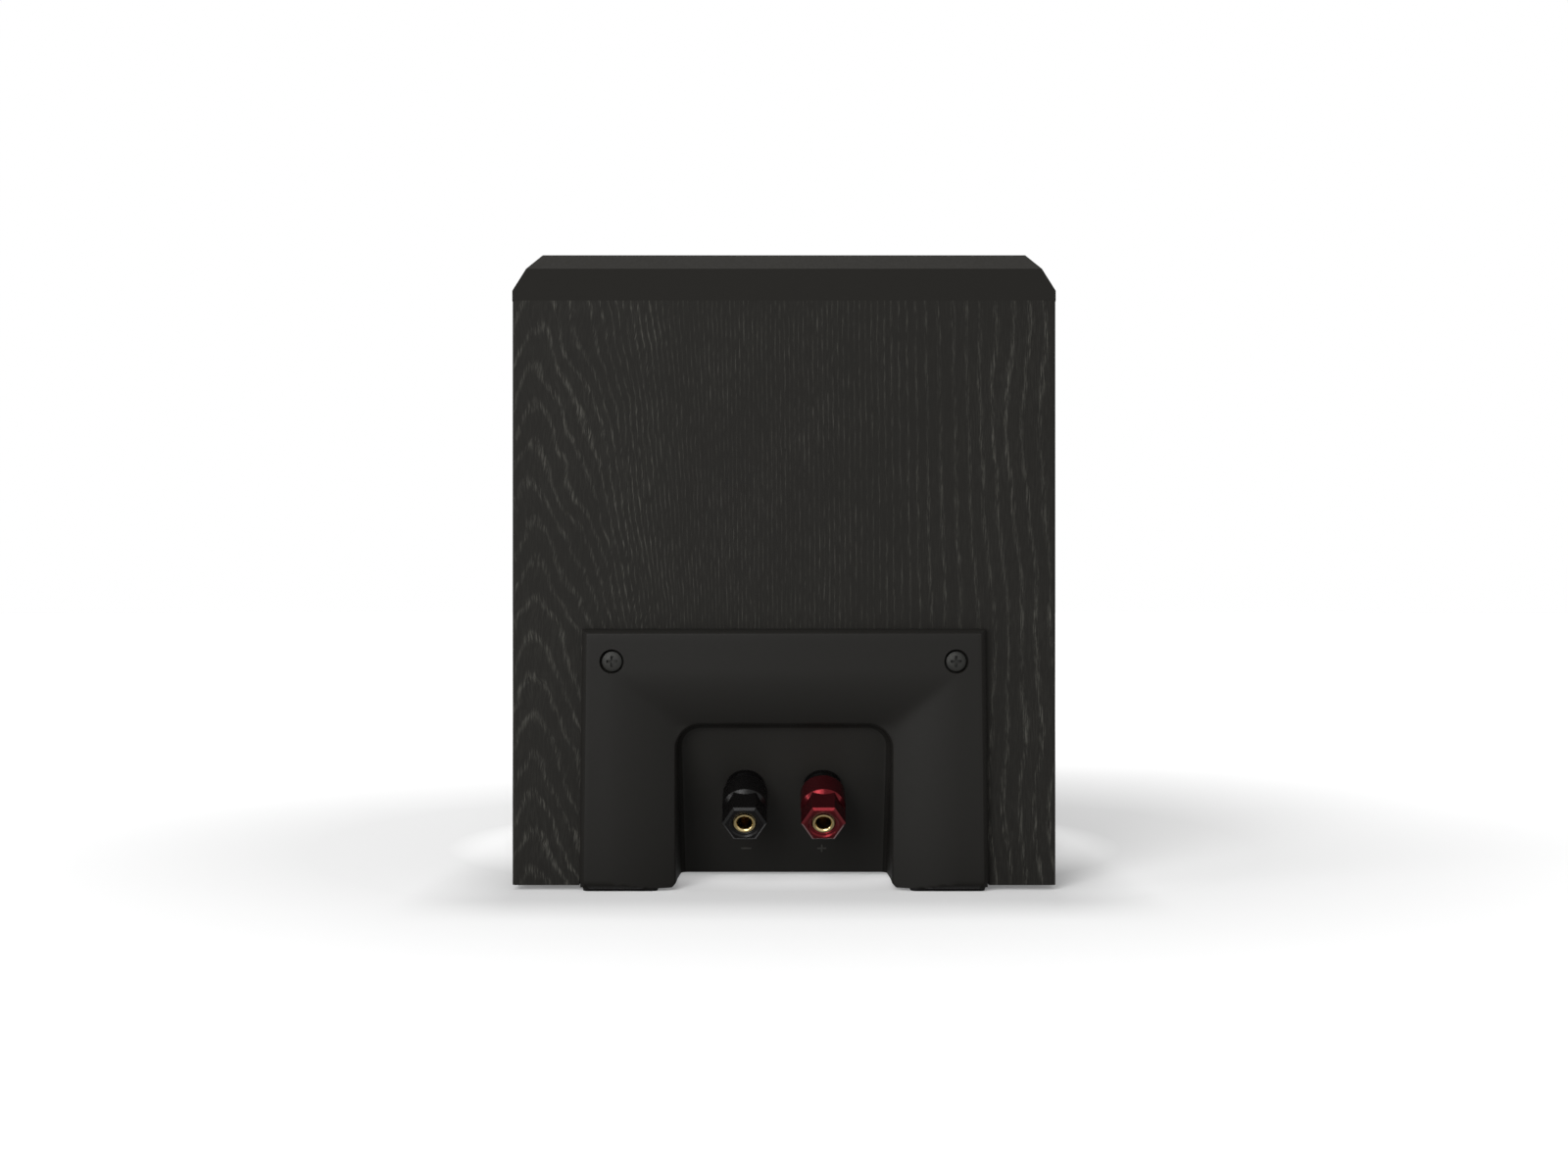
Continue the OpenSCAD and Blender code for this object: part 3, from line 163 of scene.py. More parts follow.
def blank(name):
    """An empty material: its tree, its Principled shader and its object coordinates in mm."""
    material = bpy.data.materials.new(name)
    tree = cleared(material)
    shader = add(tree, "ShaderNodeBsdfPrincipled")
    add(tree, "ShaderNodeOutputMaterial", {"Surface": shader})
    place = add(tree, "ShaderNodeTexCoord")
    mm = add(tree, "ShaderNodeMapping", {
        "Vector": place.outputs["Object"], "Scale": (1 / MM, 1 / MM, 1 / MM)})
    return material, tree, shader, mm


def dress(tree, shader, tone, gloss, relief, values):
    """Links tone, roughness and relief to the shader, and sets its other inputs."""
    for key, socket in (("Base Color", tone.outputs[2]), ("Roughness", gloss.outputs[0]),
                        ("Normal", relief.outputs[0])):
        tree.links.new(socket, shader.inputs[key])
    for key, value in values.items():
        shader.inputs[key].default_value = value


def moulded(name, colour, rough, specular=0.3, metallic=0.0, mottle=0.12, mottle_mm=25.0,
            grain_mm=0.4, grain=0.02, rough_swing=0.08, tint="#ffffff"):
    """A finish with soft clouds of tone, uneven gloss and a fine grain, each of a size in mm."""
    material, tree, shader, mm = blank(name)
    clouds = add(tree, "ShaderNodeTexNoise", {"Vector": mm, "Scale": 1 / mottle_mm, "Detail": 3.0})
    fine = add(tree, "ShaderNodeTexNoise", {"Vector": mm, "Scale": 1 / grain_mm, "Detail": 2.0})
    rgba = np.array(linear(colour))
    dark = (*(rgba[:3] * (1 - mottle)).tolist(), 1.0)
    light = (*(rgba[:3] * (1 + mottle)).tolist(), 1.0)
    tone = add(tree, "ShaderNodeMix", {0: clouds, 6: dark, 7: light}, data_type="RGBA")
    gloss = add(tree, "ShaderNodeMapRange", {
        "Value": fine, "From Min": 0.3, "From Max": 0.7,
        "To Min": max(rough - rough_swing, 0.05), "To Max": min(rough + rough_swing, 1.0)})
    relief = add(tree, "ShaderNodeBump", {"Height": fine, "Strength": 0.35, "Distance": grain * MM})
    dress(tree, shader, tone, gloss, relief, {
        "Metallic": metallic, "Specular IOR Level": specular, "Specular Tint": linear(tint)})
    return material


# Wood figure, in mm: distances from the pith over which something fades, and sizes
ARCHED, FAR_SIDE = (14, 46), (128, 108)   # arches give way to straight rings; they return far off
WAVY, CROWDED = (16, 60), (12, 108)       # waves fade; rings get closer
CROWD_RINGS = 36.0                        # rings added where they are closest
TRUNK_TOP = 175.0                         # height where the arches end
RING_WIDTH, PITH_ROUND = 4.0, 14.0
BEND, WAVE, RAGGED = 15.0, 8.0, 1.3       # slow bends, small waves, torn edge of a ring
PORE_WIDE, PORE_LONG = 0.24, 4.0


def ash_vinyl(name, across, along, heart, lean, shift):
    """Black ash film. Its bands are year rings of a trunk cut lengthwise: lines of equal distance
    from a leaning pith, which arch where the cut passes near it and run straight away from it.
    Each band is made of short pale pores that lie along the grain."""
    material, tree, shader, mm = blank(name)
    axes = add(tree, "ShaderNodeSeparateXYZ", {0: mm})
    side, up = axes.outputs[across], axes.outputs[along]

    def calc(operation, a, b=0.0, c=0.0):
        return add(tree, "ShaderNodeMath", {0: a, 1: b, 2: c}, operation=operation)

    def noise(a, a_mm, b, b_mm, seed, detail=2.0, roughness=0.5):
        """Noise whose blotches are about a_mm by b_mm."""
        where = add(tree, "ShaderNodeCombineXYZ", {
            0: calc("MULTIPLY", a, 1 / a_mm), 1: calc("MULTIPLY", b, 1 / b_mm), 2: seed + shift})
        return add(tree, "ShaderNodeTexNoise", {
            "Vector": where, "Scale": 1.0, "Detail": detail, "Roughness": roughness})

    def ramp(value, low, high, start=0.0, end=1.0):
        return add(tree, "ShaderNodeMapRange", {
            "Value": value, "From Min": low, "From Max": high, "To Min": start, "To Max": end},
            interpolation_type="SMOOTHSTEP")

    # Away from the pith and from the far side the rings are narrow, straight and weaker
    off_pith = calc("SUBTRACT", side, heart)
    reach = calc("ABSOLUTE", off_pith)
    calm = calc("MULTIPLY", ramp(reach, *ARCHED), ramp(reach, *FAR_SIDE))
    sway = ramp(calm, 0, 1, 1.0, 0.14)
    near = ramp(reach, *WAVY, 1.0, 0.06)
    # Slow bends of the trunk, small waves of the fibre and the ragged edge of each ring
    slow = noise(side, 45, up, 60, 1.3)
    wave = noise(side, 11, up, 17, 7.9, 3.0)
    ragged = noise(side, 0.9, up, 4, 23.1, 2.0)
    drift = calc("MULTIPLY", calc("MULTIPLY_ADD", slow, BEND, -BEND / 2), sway)
    drift = calc("MULTIPLY_ADD", calc("MULTIPLY_ADD", wave, WAVE, -WAVE / 2), near, drift)
    bent = calc("ADD", drift, off_pith)
    cone = calc("SQRT", calc("MULTIPLY_ADD", bent, bent, PITH_ROUND))
    # The pith leans out of the board upward; the lean is nothing at the top, so no ring closes
    below = calc("MULTIPLY_ADD", up, lean, -TRUNK_TOP * lean)
    ring = calc("MULTIPLY_ADD", below, near, cone)
    ring = calc("MULTIPLY_ADD", ragged, RAGGED, ring)
    count = calc("MULTIPLY_ADD", ring, 1 / RING_WIDTH, ramp(reach, *CROWDED, 0.0, CROWD_RINGS))
    year = calc("ABSOLUTE", calc("SUBTRACT", calc("FRACT", count), 0.5))
    band = ramp(year, 0.28, 0.48, 0.14, 1.0)
    # Pores follow the fibre; they are weaker in patches and where the rings are straight
    fibre = calc("MULTIPLY_ADD", calc("MULTIPLY", wave, near), 5.0, side)
    pores = noise(fibre, PORE_WIDE, up, PORE_LONG, 11.7, 3.0, 0.65)
    dash = ramp(pores, 0.4, 0.74)
    patchy = ramp(noise(side, 16, up, 26, 17.0), 0.36, 0.66, 0.5, 1.0)
    strength = calc("MULTIPLY", patchy, ramp(calm, 0, 1, 1.0, 0.58))
    mark = calc("MULTIPLY", calc("MULTIPLY", dash, band), strength)
    tone = add(tree, "ShaderNodeMix", {
        0: mark, 6: linear("#22211f"), 7: linear("#52514c")}, data_type="RGBA")
    gloss = add(tree, "ShaderNodeMapRange", {"Value": mark, "To Min": 0.62, "To Max": 0.72})
    relief = add(tree, "ShaderNodeBump", {"Height": mark, "Strength": 0.3, "Distance": 0.02 * MM})
    dress(tree, shader, tone, gloss, relief, {"Specular IOR Level": 0.05})
    return material


def slope_mm(x, v, w):
    """Object coordinates of a point on the sloping joint: v runs up the slope, w out of it."""
    c, s = math.cos(SLOPE), math.sin(SLOPE)
    return (x, MID_Y + v * c - w * s, MID_Z + v * s + w * c)


def spun_copper(name):
    """Spun, lacquered copper: fine turning rings round the driver's axis."""
    material, tree, shader, mm = blank(name)
    centre = slope_mm(0.0, WOOFER_V, 0.0)
    local = add(tree, "ShaderNodeMapping", {
        "Vector": mm, "Location": tuple(-c for c in centre)})
    flat = add(tree, "ShaderNodeMapping", {"Vector": local, "Rotation": (-SLOPE, 0.0, 0.0)})
    axes = add(tree, "ShaderNodeSeparateXYZ", {0: flat})
    plane = add(tree, "ShaderNodeCombineXYZ", {0: axes.outputs[0], 1: axes.outputs[1]})
    radius = add(tree, "ShaderNodeVectorMath", {0: plane}, operation="LENGTH")
    rings = add(tree, "ShaderNodeTexNoise", {
        "W": radius.outputs["Value"], "Scale": 1 / 0.6, "Detail": 4.0}, noise_dimensions="1D")
    tone = add(tree, "ShaderNodeMix", {
        0: rings, 6: linear("#a9633c"), 7: linear("#cf8a5e")}, data_type="RGBA")
    gloss = add(tree, "ShaderNodeMapRange", {"Value": rings, "To Min": 0.26, "To Max": 0.42})
    relief = add(tree, "ShaderNodeBump", {
        "Height": rings, "Strength": 0.3, "Distance": 0.02 * MM})
    dress(tree, shader, tone, gloss, relief, {"Metallic": 1.0})
    return material


FINISHES = {
    # slot: how it was made, and what that gives the eye
    "baffle_coat": moulded("satin_black_lacquer", "#262523", 0.74, 0.02, mottle=0.04, mottle_mm=60,
                           grain_mm=0.5, grain=0.01),
    "moulded_abs": moulded("moulded_abs", "#1a1917", 0.46, 0.12, mottle=0.05, mottle_mm=40,
                           grain_mm=0.35, grain=0.012),
    "soft_trim": moulded("soft_touch_elastomer", "#1e1e1d", 0.72, 0.2, mottle=0.06),
    "foot_rubber": moulded("foot_rubber", "#161616", 0.8, 0.2, mottle=0.1, mottle_mm=8),
    "gasket_foam": moulded("gasket_foam", "#1a1a1a", 0.95, 0.1, mottle=0.3, mottle_mm=1.2,
                           grain_mm=0.6, grain=0.1),
    "wadding": moulded("polyester_wadding", "#c9c6ba", 0.95, 0.1, mottle=0.15, mottle_mm=3,
                       grain_mm=1.0, grain=0.3),
    "black_screw": moulded("black_oxide_steel", "#2b2b29", 0.5, 0.3, metallic=0.6, mottle=0.1,
                           mottle_mm=2, grain_mm=0.3, grain=0.01),
    "gilt_brass": moulded("gilt_brass", "#b9a679", 0.2, 0.5, metallic=1.0, mottle=0.08,
                          mottle_mm=3, grain_mm=0.25, grain=0.006, rough_swing=0.06),
    "black_plastic": moulded("black_polycarbonate", "#0c0b0b", 0.3, 0.18, mottle=0.05,
                             grain_mm=0.4, grain=0.006),
    "red_plastic": moulded("red_polycarbonate", "#2c0a0d", 0.19, 1.0, mottle=0.06, grain_mm=0.4,
                           grain=0.006, tint="#ff5a64"),
    "plated_steel": moulded("zinc_plated_steel", "#a9aaab", 0.35, 0.5, metallic=1.0),
    "tinned_brass": moulded("tinned_brass", "#b9b6ac", 0.38, 0.5, metallic=1.0),
    "basket_steel": moulded("black_painted_steel", "#1c1c1c", 0.5, 0.3, mottle=0.06),
    "surround_rubber": moulded("surround_rubber", "#171717", 0.62, 0.25, mottle=0.06,
                               grain_mm=0.5, grain=0.01),
    "coil_paper": moulded("kraft_paper_former", "#b58a52", 0.8, 0.2),
    "coil_wire": moulded("enamelled_copper_wire", "#a4552c", 0.35, 0.5, metallic=1.0),
    "spider_cloth": moulded("phenolic_cotton_cloth", "#b98f4e", 0.85, 0.15, mottle=0.15,
                            mottle_mm=1.0, grain_mm=0.5, grain=0.08),
    "ferrite": moulded("sintered_ferrite", "#3a3a3c", 0.6, 0.4, mottle=0.1, mottle_mm=4),
    "fibre_board": moulded("brown_fibre_board", "#5b4226", 0.75, 0.2),
    "horn_plastic": moulded("horn_abs", "#1b1b1a", 0.48, 0.28, mottle=0.05, mottle_mm=50,
                            grain_mm=0.4, grain=0.012),
    "dome_metal": moulded("anodised_aluminium_dome", "#b9bcc0", 0.3, 0.5, metallic=1.0),
    "board_laminate": moulded("glass_epoxy_laminate", "#1f4a2a", 0.45, 0.4),
    "copper_winding": moulded("wound_copper_wire", "#b3663a", 0.4, 0.5, metallic=1.0,
                              grain_mm=0.8, grain=0.2),
    "capacitor_sleeve": moulded("capacitor_film_sleeve", "#26304e", 0.35, 0.4),
    "cement": moulded("cement_resistor_body", "#d5d2c8", 0.85, 0.2),
    "nylon": moulded("natural_nylon", "#d9d7cb", 0.45, 0.4),
    "wire_sleeve": moulded("wire_pvc_sleeve", "#2a1412", 0.45, 0.35),
    "copper_cone": spun_copper("spun_copper_cone"),
}
# The housing's smooth zones, and the worn print of its marks. The leaning panel's copy of the
# moulding is lighter, painted light against the recess's shade; the copy on the recess walls, the
# face's bevel and the screw sinks is duller and darker, painted shade.
PANEL_PAINTED_LIGHT = moulded("smooth_abs_recess_painted_light", "#2a2927", 0.4, 0.09, mottle=0.05, grain_mm=0.5,
                   grain=0.006)
# painted shade: a duller, darker copy of the moulding for the recess walls, the face's bevel and
# the screw sinks
EDGE = moulded("smooth_abs_edge_painted_shade", "#1c1b19", 0.6, 0.06, mottle=0.05, grain_mm=0.5, grain=0.006)
MARK = moulded("worn_abs_mark", "#4b4a47", 0.5, 0.1, mottle=0.05)
# Film on each panel: the axes across and along the grain, the pith's place and lean, a seed
VINYL_BACK = ash_vinyl("black_ash_vinyl_back", 0, 2, 66.0, 0.38, 0.0)
VINYL_SIDE = ash_vinyl("black_ash_vinyl_side", 1, 2, 30.0, 0.28, 31.0)
VINYL_FRONT = ash_vinyl("black_ash_vinyl_front", 0, 2, -34.0, 0.3, 57.0)
VINYL_BOTTOM = ash_vinyl("black_ash_vinyl_bottom", 0, 1, 20.0, 0.2, 83.0)
SMOOTH_DEGREES = 34      # creases kept on the pieces made here
SOLID_DEGREES = 24       # and on the solids that stay


# ---------- mesh making ----------

def weld(mesh, closed=True):
    """Merges doubles, turns a closed shell's faces outward and shades it smooth between creases."""
    work = bmesh.new()
    work.from_mesh(mesh)
    bmesh.ops.remove_doubles(work, verts=work.verts, dist=2e-6)
    bmesh.ops.dissolve_degenerate(work, dist=1e-7, edges=work.edges)
    rims = [e for e in work.edges if e.is_boundary]
    if closed and rims:
        bmesh.ops.holes_fill(work, edges=rims, sides=0)
    bmesh.ops.recalc_face_normals(work, faces=work.faces)
    work.to_mesh(mesh)
    work.free()
    mesh.shade_smooth()
    mesh.set_sharp_from_angle(angle=math.radians(SMOOTH_DEGREES))


def grid_mesh(name, grids, closed=True):
    """One mesh from grids of points in mm, each (rows, columns, 3)."""
    points, quads, start = [], [], 0
    for grid in grids:
        rows, columns = grid.shape[:2]
        index = start + np.arange(rows * columns).reshape(rows, columns)
        quads.append(np.stack(
            [index[:-1, :-1], index[1:, :-1], index[1:, 1:], index[:-1, 1:]], -1).reshape(-1, 4))
        points.append(grid.reshape(-1, 3))
        start += rows * columns
    points = np.concatenate(points) * MM
    quads = np.concatenate(quads)
    mesh = bpy.data.meshes.new(name)
    mesh.vertices.add(len(points))
    mesh.vertices.foreach_set("co", points.ravel())
    mesh.loops.add(quads.size)
    mesh.loops.foreach_set("vertex_index", quads.ravel())
    mesh.polygons.add(len(quads))
    mesh.polygons.foreach_set("loop_start", np.arange(0, quads.size, 4))
    mesh.update(calc_edges=True)
    weld(mesh, closed)
    return mesh


def shape(name, grids, slot, body, *nodes):
    """A finished piece that rides on a body and stands for CAD nodes."""
    obj = put(name, grid_mesh(name, grids))
    obj.data.materials.append(FINISHES[slot])
    if body:
        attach(obj, body)
    if nodes:
        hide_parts(*nodes)
    return obj


def carve(obj, grids, twisted=False):
    """Takes closed cutter shapes out of a piece. A piece with twisted quads is split into
    triangles first, so that every face of the cut is flat."""
    cutter = put("cutter", grid_mesh("cutter", grids))
    if twisted:
        obj.modifiers.new("flat_faces", "TRIANGULATE")
    tool = obj.modifiers.new("holes", "BOOLEAN")
    tool.operation, tool.solver, tool.object = "DIFFERENCE", "EXACT", cutter
    bpy.context.view_layer.update()
    cut = bpy.data.meshes.new_from_object(obj.evaluated_get(bpy.context.evaluated_depsgraph_get()))
    obj.modifiers.clear()
    old, obj.data = obj.data, cut
    cut.name = obj.name
    bpy.data.meshes.remove(old)
    bpy.data.objects.remove(cutter)
    cut.shade_smooth()
    cut.set_sharp_from_angle(angle=math.radians(SMOOTH_DEGREES))


def turned(profile, steps=144):
    """A profile of (radius, height) turned about the height axis: x = r cos a, y = r sin a."""
    profile = np.asarray(profile, float)
    a = np.linspace(0, 2 * np.pi, steps + 1)
    r, h = profile[:, :1], profile[:, 1:]
    return np.stack([r * np.cos(a), r * np.sin(a), h + 0 * a], -1)


def to_slope(grid, centre_v):
    """From a driver's own frame (x, along the slope, out of it) to object coordinates."""
    return np.stack(slope_mm(grid[..., 0], grid[..., 1] + centre_v, grid[..., 2]), -1)


def to_post(grid, side):
    """From a binding post's frame (x, down the panel, out along the post) to object coordinates."""
    c, s = math.cos(POST_TILT), math.sin(POST_TILT)
    x, down, out = grid[..., 0], grid[..., 1], grid[..., 2]
    return np.stack([side * POST_X + x, PANEL_Y - down * s + out * c,
                     PANEL_Z - down * c - out * s], -1)


def arc(centre, radius, start, end, steps):
    """Points on a circle's arc, angles in degrees."""
    a = np.radians(np.linspace(start, end, steps + 1))
    return np.stack([centre[0] + radius * np.cos(a), centre[1] + radius * np.sin(a)], -1)


# ---------- terminal housing ----------

def plate_side(z):
    """Half width of the plate at a height: it leans in towards the top and is eased at the foot."""
    foot = FOOT_HALF + (z - PLATE_LOW) / (FOOT_TOP - PLATE_LOW)
    above = PLATE_HALF - PLATE_TAPER * (z - FOOT_TOP) / (PLATE_TOP - FOOT_TOP)
    return np.where(z < FOOT_TOP, foot, above)


def flare_depth(x, z):
    """Depth of the trumpet flare: two arcs tangent to the face, one beside and one above the
    recess, blended with a high power so that their valley is slightly soft."""
    def sag(run, q):
        r = (run ** 2 + FLARE_DEEP ** 2) / 2 / FLARE_DEEP
        return r - np.sqrt(r * r - np.clip(q, 1e-4, 0.95 * r) ** 2)
    side = sag(FLARE_SIDE, RECESS_HALF + FLARE_SIDE - np.abs(x))
    top = sag(FLARE_TOP, RECESS_TOP + FLARE_TOP - z)
    power = 5
    return np.minimum((side ** -power + top ** -power) ** (-1 / power), FLARE_DEEP)


BEVEL_STEPS = (1.35, 1.12, 0.9, 0.6, 0.35, 0.12, 0.0)


def edge_drop(inset):
    """The face's bevel: 1.2 mm at 45 degrees with both edges eased."""
    knots = [*BEVEL_STEPS[::-1], BEVEL]
    drops = [1.55, 1.24, 0.9, 0.62, 0.31, 0.12, 0.03, 0.0]
    return np.interp(inset, knots, drops)


def panel_y(z):
    """Depth of the leaning panel's face at a height."""
    return PANEL_Y + (z - PANEL_Z) * math.tan(PANEL_LEAN)


def recess_path(grow):
    """Right half of the recess outline from the foot up to its middle, grown outward, with its
    normals and the number of points on its leg, its bend and its top."""
    foot = PLATE_LOW + np.array([0, 0.35, 0.7, 1.1, 1.6, 2.4])
    bend_z = RECESS_TOP - RECESS_R
    leg_z = np.concatenate([foot, np.linspace(PLATE_LOW + 3.6, bend_z, 22)])
    leg = np.stack([0 * leg_z + RECESS_HALF + grow, leg_z], -1)
    bend = arc((RECESS_HALF - RECESS_R, bend_z), RECESS_R + grow, 0, 90, 18)[1:]
    top_x = np.linspace(bend[-1, 0], 0, 19)[1:]
    top = np.stack([top_x, 0 * top_x + RECESS_TOP + grow], -1)
    normal = np.concatenate([
        np.tile([1.0, 0.0], (len(leg), 1)), arc((0, 0), 1, 0, 90, 18)[1:],
        np.tile([0.0, 1.0], (len(top), 1))])
    return np.concatenate([leg, bend, top]), normal, (len(leg), len(bend), len(top))


def outer_stations(counts, corner, bend_z, top_x):
    """Points on a surrounding rectangle that the recess points look at: up the side to bend_z,
    round the corner to top_x, then along the top to the middle."""
    legs, bends, tops = counts
    low = np.linspace(PLATE_LOW, bend_z, legs)
    rise = np.linspace(bend_z, corner[1], bends // 2 + 1)[1:]
    run = np.linspace(corner[0], top_x, bends - bends // 2 + 1)[1:]
    rest = np.linspace(top_x, 0, tops + 1)[1:]
    side = np.concatenate([low, rise])
    return np.concatenate([
        np.stack([0 * side + corner[0], side], -1),
        np.stack([run, 0 * run + corner[1]], -1), np.stack([rest, 0 * rest + corner[1]], -1)])


def face_rows(half, normal, counts):
    """The front of the moulding, from the lip of the recess out to the plate's rim: rows of
    (x, y, z) that end at the cabinet's back. The flare is height over (x, z)."""
    legs, bends, _ = counts
    flare_edge = outer_stations(
        counts, (RECESS_HALF + FLARE_SIDE, RECESS_TOP + FLARE_TOP), bend_z=46.0, top_x=34.0)
    rim = outer_stations(counts, (RIM_HALF, PLATE_TOP), bend_z=52.0, top_x=40.0)
    side, top = slice(0, legs + bends // 2), slice(legs + bends // 2 - 1, None)
    flare_edge[:6, 1] = half[:6, 1]
    rim[:6, 1] = half[:6, 1]
    rim[side, 0] = plate_side(rim[side, 1])
    inner = rim.copy()
    inner[side, 0] -= BEVEL
    inner[top, 1] -= BEVEL
    inner[top, 0] = np.minimum(inner[top, 0], RIM_HALF - BEVEL)
    ease = np.clip(1.0 + PLATE_LOW - half[:, 1], 0, None)
    lip_path = half + np.stack([ease, 0 * ease], -1)
    rows = []
    for angle in np.linspace(90, 0, 7):
        s = LIP_R * (1 - math.sin(math.radians(angle)))
        p = lip_path + normal * s
        drop = LIP_R - math.sqrt(max(LIP_R ** 2 - (LIP_R - s) ** 2, 0))
        rows.append((p, FACE_Y - flare_depth(*p.T) - drop))
    first_on_face = len(rows)
    near = lip_path + normal * LIP_R
    for t in np.linspace(0, 1, 27)[1:]:
        p = near + (flare_edge - near) * t
        rows.append((p, FACE_Y - flare_depth(*p.T)))
    for t in np.linspace(0, 1, 6)[1:]:
        p = flare_edge + (inner - flare_edge) * t
        rows.append((p, FACE_Y + 0 * p[:, 0]))
    for t in BEVEL_STEPS:
        p = rim + (inner - rim) * (t / BEVEL)
        rows.append((p, FACE_Y - edge_drop(t) + 0 * p[:, 0]))
    rows.append((rim, REAR_Y + 0 * rim[:, 0]))
    # The bottom edge of the face has the same bevel
    front = np.array([np.column_stack([p[:, 0], y, p[:, 1]]) for p, y in rows])
    limit = FACE_Y - edge_drop(front[..., 2] - PLATE_LOW)
    face = slice(first_on_face, -1)
    front[face, :, 1] = np.minimum(front[face, :, 1], limit[face])
    return front


def wall_rows(half, normal, lip_row):
    """Recess walls from the fillet on the leaning panel out to the lip."""
    walls = []
    for angle in np.linspace(0, 90, 9):
        c, s = math.cos(math.radians(angle)), math.sin(math.radians(angle))
        p = half - normal * SEAT_R * (1 - s)
        walls.append(np.column_stack([p[:, 0], panel_y(p[:, 1]) + SEAT_R * (1 - c), p[:, 1]]))
    seat_row = walls[-1]
    for t in np.linspace(0, 1, 9)[1:-1]:
        walls.append(seat_row + (lip_row - seat_row) * t)
    return walls


def hidden_rows():
    """Back of the plate, rim of the box and its outer walls down to the panel's back."""
    back = []
    for grow, y in ((BOX_RIM, REAR_Y), (BOX_RIM, BOX_RIM_Y), (BOX_WALL, BOX_RIM_Y)):
        p = recess_path(grow)[0]
        back.append(np.column_stack([p[:, 0], 0 * p[:, 0] + y, p[:, 1]]))
    x, z = recess_path(BOX_WALL)[0].T
    back.append(np.column_stack([x, panel_y(z) - PANEL_T / math.cos(PANEL_LEAN), z]))
    return back


def housing_shell():
    """The whole moulding as one closed skin: recess walls, face and hidden walls, mirrored to
    the left half, with ruled sheets for the panel's front and back."""
    half, normal, counts = recess_path(0.0)
    front = face_rows(half, normal, counts)
    shell = np.array(wall_rows(half, normal, front[0]) + list(front) + hidden_rows())
    flip = shell[:, -2::-1].copy()
    flip[..., 0] *= -1
    shell = np.concatenate([shell, flip], 1)

    def fill(row):
        """Ruled sheet between the two halves of a closed row; its last line is the top edge."""
        right = row[:counts[0] + counts[1]]
        left = right * np.array([-1, 1, 1])
        t = np.linspace(0, 1, 2 * counts[2] + 1)[None, :, None]
        return right[:, None] * (1 - t) + left[:, None] * t

    return [shell, fill(shell[0]), fill(shell[-1])]


def prism(loop, low, high):
    """A straight prism on a closed loop: rows of (a, b, level) from end to end."""
    middle = 0 * loop + loop[:-1].mean(0)
    return np.array([np.column_stack([ring, 0 * ring[:, 0] + level]) for ring, level in (
        (middle, low), (loop, low), (loop, high), (middle, high))])


def slab(half, back, front, low, high):
    """A flat block across the middle line, from y = back to y = front."""
    loop = np.array([[-half, back], [half, back], [half, front], [-half, front], [-half, back]])
    return prism(loop, low, high)


def turned_along_y(x, z, profile):
    """A turned form whose axis runs along y at (x, z); the profile is (radius, y)."""
    grid = turned(profile, 64)
    return np.stack([grid[..., 0] + x, grid[..., 2], grid[..., 1] + z], -1)


def finish_zones(obj):
    """The leaning panel, the recess walls and the bevel round the face are smooth; the rest is
    textured. The panel's copy is lighter, painted light; the walls, the bevel and the screw sinks
    get a duller, darker copy, painted shade."""
    obj.data.materials.append(PANEL_PAINTED_LIGHT)
    obj.data.materials.append(EDGE)
    faces = obj.data.polygons
    centre, normal = np.empty(3 * len(faces)), np.empty(3 * len(faces))
    faces.foreach_get("center", centre)
    faces.foreach_get("normal", normal)
    x, y, z = centre.reshape(-1, 3).T / MM
    ny, nz = normal.reshape(-1, 3).T[1:]
    off_panel = math.cos(PANEL_LEAN) * ny - math.sin(PANEL_LEAN) * nz
    panel = (off_panel > 0.96) & (abs(x) < RECESS_HALF) & (abs(y - panel_y(z)) < 1.5)
    recess = (abs(x) < RECESS_HALF + LIP_R) & (z < RECESS_TOP + LIP_R) & (y > panel_y(z) - 1)
    wall = recess & (y < FACE_Y - 0.1 - flare_depth(x, z))
    rim = (z > PLATE_TOP - 1.5) | (abs(x) > plate_side(z) - 1.5)
    bevel = rim & (y > FACE_Y - 2) & (ny > 0.3) & (ny < 0.97)
    sink = (y < FACE_Y - 0.1) & (abs(abs(x) - SCREW_X[1]) < 3.5) & (abs(z - SCREW_Z) < 3.5)
    # zone 1 is the panel's lighter copy, painted light; zone 2 is the darker copy on walls, bevel
    # and screw sinks, painted shade
    zone = np.where(panel, 1, np.where(wall | bevel | sink, 2, 0)).astype(np.int32)
    faces.foreach_set("material_index", zone)


SINK_R = 3.2             # screw holes in the face, with a small bevel
housing = shape("terminal_housing_moulding", housing_shell(), "moulded_abs", "root",
                "terminal_housing")
carve(housing, [turned_along_y(x, SCREW_Z, [
    (0, SCREW_SEAT), (SINK_R, SCREW_SEAT), (SINK_R, FACE_Y - 0.15),
    (SINK_R + 0.15, FACE_Y + 0.05), (SINK_R + 0.2, FACE_Y + 1), (0, FACE_Y + 1)])
    for x in SCREW_X])
finish_zones(housing)
# Flat tongue under the cabinet, notched round the gasket rim and the recess box
tongue_top = PLATE_LOW + TONGUE_T
tongue = shape("terminal_housing_tongue",
               [slab(PLATE_HALF, TONGUE_Y, REAR_Y, PLATE_LOW, tongue_top)], "moulded_abs", "root")
for half, back in TONGUE_NOTCHES:
    carve(tongue, [slab(half, back, REAR_Y + 1, PLATE_LOW - 1, tongue_top + 1)])


def screw_line():
    """Housing screw: pointed shank, and a low head whose top is a slight dome."""
    crown = (SCREW_HEAD ** 2 + HEAD_DOME ** 2) / 2 / HEAD_DOME
    reach = math.degrees(math.asin(SCREW_HEAD / crown))
    dome = arc((0, SCREW_SEAT + HEAD_RISE - crown), crown, 90 - reach, 90, 12)
    foot = [[0, SCREW_SEAT - SHANK_L], [SHANK_R, SCREW_SEAT - SHANK_L + POINT_L],
            [SHANK_R, SCREW_SEAT], [SCREW_HEAD, SCREW_SEAT]]
    return np.concatenate([foot, dome])


